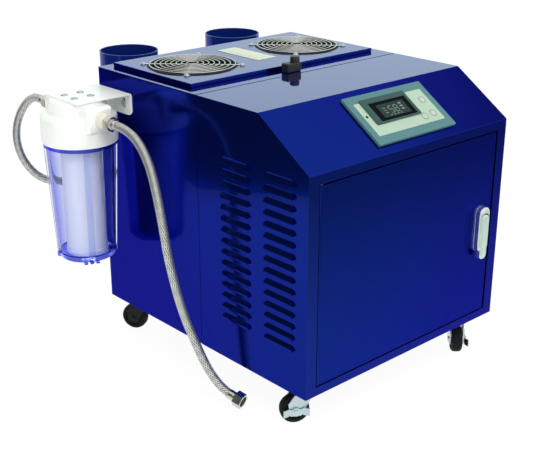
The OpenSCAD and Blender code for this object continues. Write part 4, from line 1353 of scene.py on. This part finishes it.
@dataclass
class ControlPanel:
    """The operating panel on the slope, in its own frame with Z out of the slope."""

    rise: float = 74 * MM
    run: float = 112 * MM
    bezel: Flat = (188 * MM, 103 * MM)
    top: float = 5 * MM
    posts: Flat = (71 * MM, 28.5 * MM)
    overlay: Flat = (161.7 * MM, 70.7 * MM)
    overlay_depth: float = 1.2 * MM
    eye: Flat = (3.6 * MM, 5 * MM)
    eye_at: Flat = (-74.5 * MM, 5.7 * MM)
    display: Flat = (107 * MM, 54 * MM)
    display_at: Flat = (-14 * MM, 12 * MM)
    display_height: float = 2.4 * MM
    window: Flat = (87 * MM, 39.5 * MM)
    window_at: Flat = (-11 * MM, 8.5 * MM)
    window_height: float = 1.2 * MM
    field: Flat = (64 * MM, 28 * MM)
    film: float = 0.1 * MM
    keys: tuple[tuple[str, float, float], ...] = (
        ("power", 66 * MM, 12 * MM),
        ("up", 65 * MM, -19 * MM),
        ("down", 42 * MM, -21 * MM),
    )
    reading: str = "58"
    digit: Flat = (8 * MM, 14 * MM)
    stroke: float = 1.5 * MM

    def __post_init__(self) -> None:
        """Finds the panel's place from its overlay."""
        tilt = math.atan(self.rise / self.run)
        low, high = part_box("panel_overlay")
        normal = Vector((0, -math.sin(tilt), math.cos(tilt)))
        origin = (low + high) / 2 - normal * (self.top - self.overlay_depth / 2)
        self.place = shift(origin) @ Matrix.Rotation(tilt, 4, "X")

    def build(self) -> None:
        """Builds the bezel, the overlay, the display and the keys."""
        self._bezel()
        self._overlay()
        self._display()
        for name, x, y in self.keys:
            self._key(name, x, y)

    def _lay(self, piece: Piece, finish: Finish, slot: str, *nodes: str) -> None:
        """Puts a piece of the panel's own frame on the slope and ties it to the cabinet."""
        fit(settle(piece, self.place), finish, "cabinet", slot, *nodes)

    def _bezel(self) -> None:
        """Builds the grey frame with its recess and its four posts."""
        frame = slab("operating_frame", self.bezel, 1.4 * MM, 0, self.top)
        soften(frame, 0.6 * MM, angle=60)
        recess = (self.overlay[0] + 0.3 * MM, self.overlay[1] + 0.3 * MM)
        sunk = self.top - self.overlay_depth
        carve(frame, slab("recess", recess, 2 * MM, sunk, self.top + 5 * MM))
        for x, y in around((0, 0), *self.posts):
            weld(frame, rod("post", (x, y, -12 * MM), 3.5 * MM, 13 * MM, sides=24))
        self._lay(smooth(frame), BEZEL, "bezel_plastic", "panel_bezel")

    def _overlay(self) -> None:
        """Builds the cream key sheet with its holes, rings and dark eye."""
        sheet = slab("key_sheet", self.overlay, 1.8 * MM, self.top - self.overlay_depth, self.top)
        rings = []
        for _, x, y in self.keys:
            carve(sheet, rod("hole", (x, y, 0), 5.85 * MM, 20 * MM))
            ring = turned_mm("ring", [(6.5, 0), (6.5, 0.2), (7.3, 0.2), (7.3, 0), (6.5, 0)], 40)
            rings.append(settle(ring, shift((x, y, self.top))))
        self._lay(soften(sheet, 0.25 * MM, 2), SHEET, "cream_plastic", "panel_overlay")
        self._lay(join("key_rings", rings), PRINT, "bezel_plastic")
        eye = slab("receiver_eye", self.eye, 0.6 * MM, 0, 0.5 * MM, self.eye_at)
        settle(soften(eye, 0.15 * MM, 2), self.place @ shift((0, 0, self.top)))
        fit(eye, SCREEN, "cabinet", "screen")

    def _display(self) -> None:
        """Builds the dark display frame, its glass and the faint figures."""
        over, level = self.top + self.display_height, self.top + self.window_height
        frame = slab("display_frame", self.display, 3 * MM, self.top, over, self.display_at)
        soften(frame, 0.9 * MM, angle=60)
        hole = (self.window[0] + 0.4 * MM, self.window[1] + 0.4 * MM)
        under, above = self.top - 2 * MM, over + 5 * MM
        carve(frame, slab("opening", hole, 1 * MM, under, above, self.window_at))
        self._lay(smooth(frame), FRAME, "black_plastic", "display_bezel")
        glass = slab("display_glass", self.window, 0.9 * MM, self.top, level, self.window_at)
        self._lay(soften(glass, 0.3 * MM, 2), SCREEN, "screen", "display_window")
        x, y = self.window_at
        lit = level + self.film
        field = slab("display_field", self.field, 0.8 * MM, level, lit, (x + 2 * MM, y))
        self._lay(soften(field, 0.04 * MM, 1), FIELD, "screen")
        self._lay(self._figures(x, y, lit), DIGIT, "screen")

    def _figures(self, x: float, y: float, level: float) -> Piece:
        """Returns the figures and the small bars of the display as one piece."""
        bars = []
        for index, sign in enumerate(self.reading):
            centre = x + (index * 2 - 1) * 6 * MM + 2 * MM
            bars.extend(self._segments(sign, centre, y, level))
        for row in (-1, 0, 1):
            left, right = y + row * 5 * MM, y + row * 6 * MM + 2 * MM
            bars.append(self._bar(x - 18 * MM, left, 6 * MM, 1.4 * MM, level))
            bars.append(self._bar(x + 22 * MM, right, 7 * MM, 3 * MM, level))
        for column in range(4):
            start = x - 12 * MM + column * 8 * MM
            bars.append(self._bar(start, y - 11 * MM, 4 * MM, 1.6 * MM, level))
        return join("display_figures", bars)

    def _segments(self, sign: str, x: float, y: float, level: float) -> list[Piece]:
        """Returns the lit segments of one figure."""
        width, height = self.digit
        lit = {"5": "afgcd", "8": "abcdefg"}[sign]
        across = {"a": 0.5, "g": 0.0, "d": -0.5}
        tall = {"b": (0.5, 0.25), "c": (0.5, -0.25), "e": (-0.5, -0.25), "f": (-0.5, 0.25)}
        long, high = width - self.stroke, height / 2 - self.stroke
        bars = []
        for name in lit:
            if name in across:
                rise = across[name] * height
                bars.append(self._bar(x, y + rise, long, self.stroke, level))
            else:
                side, rise = tall[name][0] * width, tall[name][1] * height
                bars.append(self._bar(x + side, y + rise, self.stroke, high, level))
        return bars

    def _bar(self, x: float, y: float, width: float, height: float, level: float) -> Piece:
        """Returns one soft-edged bar of the display."""
        size = Vector((width / 2, height / 2, 0))
        low, high = Vector((x, y, level)) - size, Vector((x, y, level + self.film)) + size
        return soften(block("bar", low, high), 0.04 * MM, 1)

    def _key(self, name: str, x: float, y: float) -> None:
        """Builds one round key with a ring pressed into its top, on its stem."""
        face = [(0, 5.75), (3.1, 5.8), (3.4, 5.45), (3.8, 5.45), (4.1, 5.85)]
        stem = [(5.0, 5.65), (5.5, 5.0), (5.5, 3.0), (2, 2.6), (2, -11), (0, -11)]
        cap = turned_mm(f"{name}_key", face + stem, 40)
        settle(cap, self.place @ shift((x, y, 0)))
        fit(cap, KEYS, f"key_{name}", "white_plastic", f"button_{name}")


@dataclass
class DoorSet:
    """The folded door and its swing handle, whose lever is let into a body that turns."""

    sheet: float = 1.5 * MM
    edge_radius: float = 4 * MM
    base: Flat = (27 * MM, 84 * MM)
    base_depth: float = 6 * MM
    hub_rise: float = 8 * MM
    body_depth: float = 17.2 * MM
    lever_width: float = 18 * MM
    lever_depth: float = 11.9 * MM
    lug_slot: Flat = (9.8 * MM, 8.8 * MM)
    lug_cover: float = 1.6 * MM
    lift_room: float = 7.8 * MM
    lift: float = 35.0

    def build(self) -> None:
        """Builds the door, the handle's plate, its body and its lever."""
        low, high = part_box("door")
        t, r = self.sheet, self.edge_radius
        corners = [(low.x, low.y), (high.x, low.y), (high.x, high.y), (low.x, high.y)]
        outline = [(x, y, low.z) for x, y in rounded_path(corners, [r, r, 0.5 * MM, 0.5 * MM], 8)]
        leaf = soften(plate("door_leaf", outline, (0, 0, high.z - low.z)), 1.3 * MM, angle=50)
        carve(leaf, block("inside", low + Vector((t, t, t)), high - Vector((t, -10 * MM, t))))
        fit(smooth(leaf), NAVY, "door", "navy_paint", "door")
        self._handle(low.y)

    def _handle(self, face: float) -> None:
        """Builds the handle on the door's face, lying flat with Z out of the door."""
        raised = spin(90, "X")
        low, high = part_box("handle_base")
        middle, hub = (low + high) / 2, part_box("handle_spindle")[0].z + self.hub_rise
        place = shift((middle.x, face, middle.z)) @ raised
        radius, rise = self.base[0] / 2 - 1 * MM, hub - middle.z
        base = slab("handle_plate", self.base, radius, 0, self.base_depth)
        soften(base, 0.8 * MM, angle=60)
        carve(base, rod("bore", (0, rise, -5 * MM), 5.2 * MM, 30 * MM))
        fit(settle(smooth(base), place), HANDLE, "door", "handle_metal", "handle_base")
        body = soften(slab("handle_body", self.base, radius, 0, self.body_depth), 4 * MM, 6, 60)
        seat = self.base_depth + 0.2 * MM
        carve(body, block("behind", mm(-50, -90, -5), (50 * MM, 90 * MM, seat)))
        channel, top = (self.lever_width + 1 * MM, 160 * MM), rise + self.lift_room
        channel_at = (0, top - channel[1] / 2)
        carve(body, slab("channel", channel, channel[0] / 2 - 1 * MM, 0, 50 * MM, channel_at))
        fit(settle(smooth(body), place), HANDLE, "handle_hub", "handle_metal")
        self._lever(middle.x, hub, raised)

    def _lever(self, x: float, hub: float, raised: Matrix) -> None:
        """Builds the lever, slotted for the lug and relieved behind its pin so that it can lift."""
        low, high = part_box("handle_lever")
        size = (self.lever_width, high.z - low.z)
        lever = slab("handle_grip", size, size[0] / 2 - 1 * MM, 0, self.lever_depth)
        soften(lever, 2.4 * MM, 5, 60)
        pin = hub - (low.z + high.z) / 2
        slope = math.tan(math.radians(self.lift))
        start, far, side, under = pin + 2.5 * MM, 20 * MM, -50 * MM, -0.01 * MM
        end = start + far
        relief = [(side, start, under), (side, end, under), (side, end, far * slope)]
        carve(lever, plate("relief", relief, mm(100, 0, 0)))
        half, drop = self.lug_slot[0] / 2, self.lug_slot[1]
        slot_top = (half, pin + far, self.lever_depth - self.lug_cover)
        carve(lever, block("slot", (-half, pin - drop, -5 * MM), slot_top))
        place = shift((x, high.y, (low.z + high.z) / 2)) @ raised
        fit(settle(smooth(lever), place), HANDLE, "lever", "handle_metal", "handle_lever")


@dataclass
class FilterUnit:
    """The water filter: bracket, head, sump, cartridge and fittings."""

    port_rise: float = 48 * MM
    port_reach: float = 72 * MM
    sump_length: float = 214 * MM
    foot_rise: float = 5 * MM
    fins: int = 4
    fin_width: float = 10.5 * MM
    fin_turn: float = math.radians(67)
    nub_pitch: float = 10.5 * MM
    sheet: float = 3 * MM
    corner: float = 10 * MM
    slot: Flat = (7 * MM, 18 * MM)
    slot_spread: float = 30 * MM
    slot_drop: float = 20 * MM
    screw_reach: float = 16 * MM
    fine: int = 96

    def __post_init__(self) -> None:
        """Finds the filter's axis and its levels."""
        low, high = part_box("filter_cartridge")
        self.axis = (low + high) / 2
        self.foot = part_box("filter_sump")[0].z + self.foot_rise
        self.neck = self.foot + self.sump_length
        self.port = self.neck + self.port_rise

    def build(self) -> None:
        """Builds every piece of the filter."""
        self._bracket()
        self._head()
        self._sump()
        self._cartridge(*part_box("filter_cartridge"))
        self._fittings()
        self._screws()

    def _at(self, level: float) -> Matrix:
        """Returns the move to the filter's axis at a height."""
        return shift((self.axis.x, self.axis.y, level))

    def _bracket(self) -> None:
        """Builds the bent bracket with round corners and two slots."""
        low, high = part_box("filter_bracket")
        t, deep = self.sheet, high.y - low.y
        inner = [(high.x - t, low.z), (high.x - t, high.z - t), (low.x, high.z - t)]
        corners = [(low.x, high.z), (high.x, high.z), (high.x, low.z), *inner]
        outline = [(x, low.y, z) for x, z in rounded_path(corners, [0, 5 * MM, 0, 0, 2 * MM, 0])]
        arm = plate("filter_arm", outline, (0, deep, 0))
        for y, way in ((low.y, 1), (high.y, -1)):
            carve(arm, self._corner(Vector((high.x - t / 2, y, low.z)), way, self.corner))
            slot = slab("slot", self.slot, 3.4 * MM, -20 * MM, 20 * MM)
            settle(slot, spin(90, "Z") @ spin(90, "X"))
            place = (high.x, self.axis.y - way * self.slot_spread, high.z - self.slot_drop)
            carve(arm, settle(slot, shift(place)))
        fit(soften(arm, 0.6 * MM, 2, 50), WHITE, "cabinet", "white_plastic", "filter_bracket")

    @staticmethod
    def _corner(place: Vector, way: int, radius: float) -> Piece:
        """Returns a cutter that rounds a lower corner of the bracket's flange."""
        middle = place + Vector((0, way * radius, radius))
        far = place - Vector((0, way * 2 * MM, 2 * MM))
        reach = 10 * MM
        low = Vector((place.x - reach, min(far.y, middle.y), far.z))
        high = Vector((place.x + reach, max(far.y, middle.y), middle.z))
        foot = (place.x - 2 * reach, middle.y, middle.z)
        return carve(block("corner", low, high), rod("round", foot, radius, 4 * reach, Axis.X))

    def _head(self) -> None:
        """Builds the head: a skirt, a cap and a square boss with a port on two sides."""
        skirt = [(0, 44), (62, 44), (62, 0), (65.2, 0), (66, 0.8), (66, 42), (65, 46.5), (62, 49.5)]
        cap = [(57, 50.6), (53, 52), (51.3, 55), (49, 71), (47.6, 74), (45, 75), (0, 75)]
        head = turned_mm("filter_cap", skirt + cap, self.fine)
        boss = soften(block("boss", mm(-26, -69, 25), mm(26, 69, 69)), 6 * MM, 4)
        carve(boss, rod("hollow", (0, 0, 0), 61 * MM, 44.5 * MM, sides=self.fine))
        start = (0, -self.port_reach, self.port_rise)
        weld(head, boss, rod("ports", start, 17 * MM, 2 * self.port_reach, Axis.Y))
        settle(smooth(head, 30), self._at(self.neck))
        fit(head, WHITE, "cabinet", "white_plastic", "filter_head")

    def _sump(self) -> None:
        """Builds the clear bowl on its deep blue foot, with its collar, fins, lugs and nubs."""
        place = self._at(self.foot)
        outer = [(51.4, 12), (59.9, 206), (61.6, 208), (61.6, 235)]
        inner = [(56, 235), (55.6, 206), (47.2, 12), (51.4, 12)]
        bowl = settle(turned_mm("filter_bowl", outer + inner, self.fine), place)
        fit(bowl, CLEAR, "sump", "clear_blue", "filter_sump")
        outer = [(0, 0), (44, 0), (48.5, 2), (51, 6.5), (51.4, 12)]
        inner = [(47.2, 12), (45.6, 9.6), (41, 8.2), (0, 8)]
        foot = turned_mm("bowl_foot", outer + inner, self.fine)
        angles = [self.fin_turn + math.tau * index / self.fins for index in range(self.fins)]
        turns = [Matrix.Rotation(angle, 4, "Z") for angle in angles]
        for turn in turns:
            lug = soften(block("lug", mm(47.6, -4, 2), mm(54, 4, 11)), 1.2 * MM, 2)
            weld(foot, settle(lug, turn))
        fit(settle(smooth(foot), place), DEEP_BLUE, "sump", "clear_blue")
        lower = [(61.9, 206.6), (63.4, 207), (64, 208)]
        upper = [(64, 212.4), (63.4, 213.2), (61.9, 213.4)]
        collar = settle(turned_mm("bowl_collar", [*lower, *upper, lower[0]], self.fine), place)
        fit(collar, DEEP_BLUE, "sump", "clear_blue")
        side = [(51.1, 12.4), (52.9, 12.4), (63.4, 206.2), (59.5, 206.2)]
        outline = [(radius * MM, -self.fin_width / 2, height * MM) for radius, height in side]
        fins, nubs = [], []
        for turn in turns:
            fin = plate("fin", outline, (0, self.fin_width, 0))
            fins.append(settle(soften(fin, 0.5 * MM, 2), turn))
        fit(settle(join("bowl_ribs", fins), place), RIB_BLUE, "sump", "clear_blue")
        for y in (-self.nub_pitch, 0, self.nub_pitch):
            nub = block("nub", (35 * MM, y - 3 * MM, -5 * MM), (43 * MM, y + 3 * MM, 1 * MM))
            nubs.append(settle(soften(nub, 0.8 * MM, 2), turns[2]))
        fit(settle(join("bowl_nubs", nubs), place), DEEP_BLUE, "sump", "clear_blue")

    def _cartridge(self, low: Vector, high: Vector) -> None:
        """Builds the wound cartridge with its two end rims."""
        r, tall, bore = (high.x - low.x) / 2 / MM + 3, (high.z - low.z) / MM, 14
        lower = [(bore, 0), (r - 1, 0), (r, 1), (r, 7), (r - 1, 8)]
        upper = [(radius, tall - height) for radius, height in reversed(lower)]
        core = settle(turned_mm("filter_core", [*lower, *upper, lower[0]], 72), self._at(low.z))
        fit(core, FIBRE, "sump", "filter_fibre", "filter_cartridge")

    def _fittings(self) -> None:
        """Builds the port adapters, and the nuts and sleeves of both hoses."""
        thread = [(0, -14), (9, -14), (9, 0), (13.4, 0)]
        adapter = thread + [(14, 0.8), (13.4, 12), (12.4, 16.4), (11.6, 18), (0, 18)]
        collar = [(0, 0), (8.9, 0), (8.9, 1.6), (8.2, 2.4)]
        sleeve = collar + [(8.2, 11), (8.6, 12), (8.6, 13.4), (8, 14), (0, 14)]
        collars, nuts = [], []
        for way in (-1, 1):
            port = shift((self.axis.x, self.axis.y + way * self.port_reach, self.port))
            place = port @ spin(-90 * way, "X")
            collars.append(settle(turned_mm("port_collar", adapter), place))
            nuts.append(settle(self._nut(), place @ shift(mm(0, 0, 18))))
            nuts.append(settle(turned_mm("sleeve", sleeve, 40), place @ shift(mm(0, 0, 32))))
        low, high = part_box("water_inlet")
        inlet = ((low.x + high.x) / 2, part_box("rear_casing")[1].y + 8 * MM, (low.z + high.z) / 2)
        nuts.append(settle(self._nut(), shift(inlet) @ spin(-90, "X")))
        fit(join("port_collars", collars), CREAM, "cabinet", "cream_plastic", "port_adapters")
        fit(join("union_nuts", nuts), NICKEL, "cabinet", "nickel", "hose_nuts")

    @staticmethod
    def _nut() -> Piece:
        """Returns a hexagon nut from Z = 0, with chamfered corners."""
        nut = rod("nut", (0, 0, 0), 13.8 * MM, 14 * MM, sides=6)
        cone = [(11.5, -1), (30, -1), (30, 15), (11.5, 15), (14.2, 12), (14.2, 2), (11.5, -1)]
        return soften(carve(nut, turned_mm("chamfer", cone)), 0.5 * MM, 2)

    def _screws(self) -> None:
        """Builds the four pan-headed screws on the bracket and the two wall bolts."""
        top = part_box("filter_bracket")[1]
        pan = [(0, 1.2), (1.5, 1.2), (1.8, 2.3), (4.2, 2.1), (6, 1.3), (6.6, 0)]
        screw = turned_mm("pan_screw", pan + [(2, 0), (2, -13), (0, -13)], 36)
        screws = []
        for x, y in around(self.axis, self.screw_reach, self.screw_reach):
            screws.append(copy_of(screw, "pan_screw", shift((x, y, top.z))))
        bolt = soften(rod("wall_bolt", (0, 0, 0), 6 * MM, 3 * MM, sides=6), 0.4 * MM, 2)
        weld(bolt, rod("shank", mm(0, 0, -12), 3 * MM, 13 * MM, sides=24))
        for way in (-1, 1):
            y = self.axis.y + way * self.slot_spread
            place = shift((top.x - self.sheet, y, top.z - self.slot_drop))
            screws.append(copy_of(bolt, "wall_bolt", place @ spin(-90, "Y")))
        bpy.data.objects.remove(screw)
        bpy.data.objects.remove(bolt)
        fit(join("bracket_fixings", screws), ZINC, "cabinet", "zinc", "bracket_screws")


@dataclass
class CastorSet:
    """The wheels and the brake pedals of the four castors."""

    turns: tuple[tuple[str, float], ...] = (
        ("fl", 150.0),
        ("fr", 228.0),
        ("rl", 120.0),
        ("rr", 75.0),
    )
    braked: tuple[str, ...] = ("fl", "fr")
    fork_half: float = 13.6 * MM
    wing_lift: float = 28.0

    def build(self) -> None:
        """Builds each wheel, and the pedals of the braked ones."""
        for name, degrees in self.turns:
            low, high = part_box(f"castor_wheel_{name}")
            place = shift((low + high) / 2) @ spin(degrees, "Z")
            self._wheel(name, place)
            if name in self.braked:
                self._pedal(name, place @ shift((0, self.fork_half, 0)))

    @staticmethod
    def _wheel(name: str, place: Matrix) -> None:
        """Builds a wheel with a round-shouldered tread and a sunk web."""
        web = [(4.3, 10), (8.6, 10), (9.2, 9.2), (9.6, 7.4), (16.6, 7.4)]
        side = web + [(17.4, 9.4), (21.6, 9.2), (24.2, 7), (25, 3.4)]
        profile = side + [(radius, -half) for radius, half in reversed(side)] + [side[0]]
        wheel = settle(turned_mm(f"wheel_{name}_tyre", profile, 72), place @ spin(90, "X"))
        fit(wheel, RUBBER, f"wheel_{name}", "black_rubber", f"castor_wheel_{name}")

    def _pedal(self, name: str, place: Matrix) -> None:
        """Builds a brake pedal: a waisted arm with a boss and two bent wings."""
        shape = [(-13, -5.5), (0, -4), (13, -5.5), (13, 5.5), (0, 4), (-13, 5.5)]
        pedal = plate(f"brake_{name}_pedal", [mm(x, 0.3, z) for x, z in shape], mm(0, 2.2, 0))
        weld(pedal, rod("boss", (0, 0, 0), 7.5 * MM, 3.2 * MM, Axis.Y))
        bent = shift(mm(12.4, 1.4, 0)) @ spin(self.wing_lift, "Z")
        for way in (-1, 1):
            wing = block("wing", mm(-0.6, -1.1, -6.5), mm(10.5, 1.1, 6.5))
            weld(pedal, settle(wing, Matrix.Diagonal((way, 1, 1, 1)) @ bent))
        soften(pedal, 0.6 * MM, 2)
        fit(settle(pedal, place), ZINC, f"brake_{name}", "zinc", f"castor_brake_{name}")


SUPPLY_ROUTE = (
    (-318, 100, 458), (-318, 78, 456), (-318, 55, 449), (-318, 35, 435), (-318, 20, 417),
    (-318, 9, 396), (-318, 0, 370), (-317, -7, 340), (-315, -12, 306), (-313, -18, 266),
    (-309, -25, 226), (-305, -34, 187), (-299, -45, 148), (-291, -58, 110), (-284, -69, 80),
    (-277, -82, 55), (-270, -96, 37), (-264, -112, 26),
)
FEED_ROUTE = (
    (-318, 336, 458), (-318, 358.7, 458), (-319.1, 379.6, 450.6), (-321.7, 397.1, 436.7),
    (-325.3, 410.1, 418.4), (-328.6, 418.5, 397.5), (-330, 422.3, 375.1), (-328.3, 421.9, 352.4),
    (-323.1, 418.1, 330.4), (-314.1, 411.7, 310.4), (-301.3, 403.1, 294.1), (-284.5, 392.8, 284),
    (-266, 381.2, 281), (-248.7, 368.2, 285.2), (-234.7, 353, 293.9), (-225.4, 335.2, 303.2),
    (-221, 314.5, 309), (-221, 292, 309),
)
ASSEMBLIES = (
    CabinetShell,
    FanDeck,
    SupplyBox,
    Sensor,
    ControlPanel,
    DoorSet,
    FilterUnit,
    CastorSet,
)


def main() -> None:
    """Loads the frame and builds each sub-assembly."""
    logging.basicConfig(level=logging.INFO, format="%(message)s")
    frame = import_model()
    studio = Studio()
    studio.place_camera()
    Hose("supply_hose", SUPPLY_ROUTE, 0.520, "fitting", ("supply_hose_end",)).build()
    Hose("feed_hose", FEED_ROUTE, 0.383, "object").build()
    studio.light()
    for finish, nodes in CAD_FINISHES.items():
        finish.on(*(frame["nodes"][node] for node in nodes.split()))
    for assembly in [kind() for kind in ASSEMBLIES]:
        assembly.build()


if __name__ == "__main__":
    main()
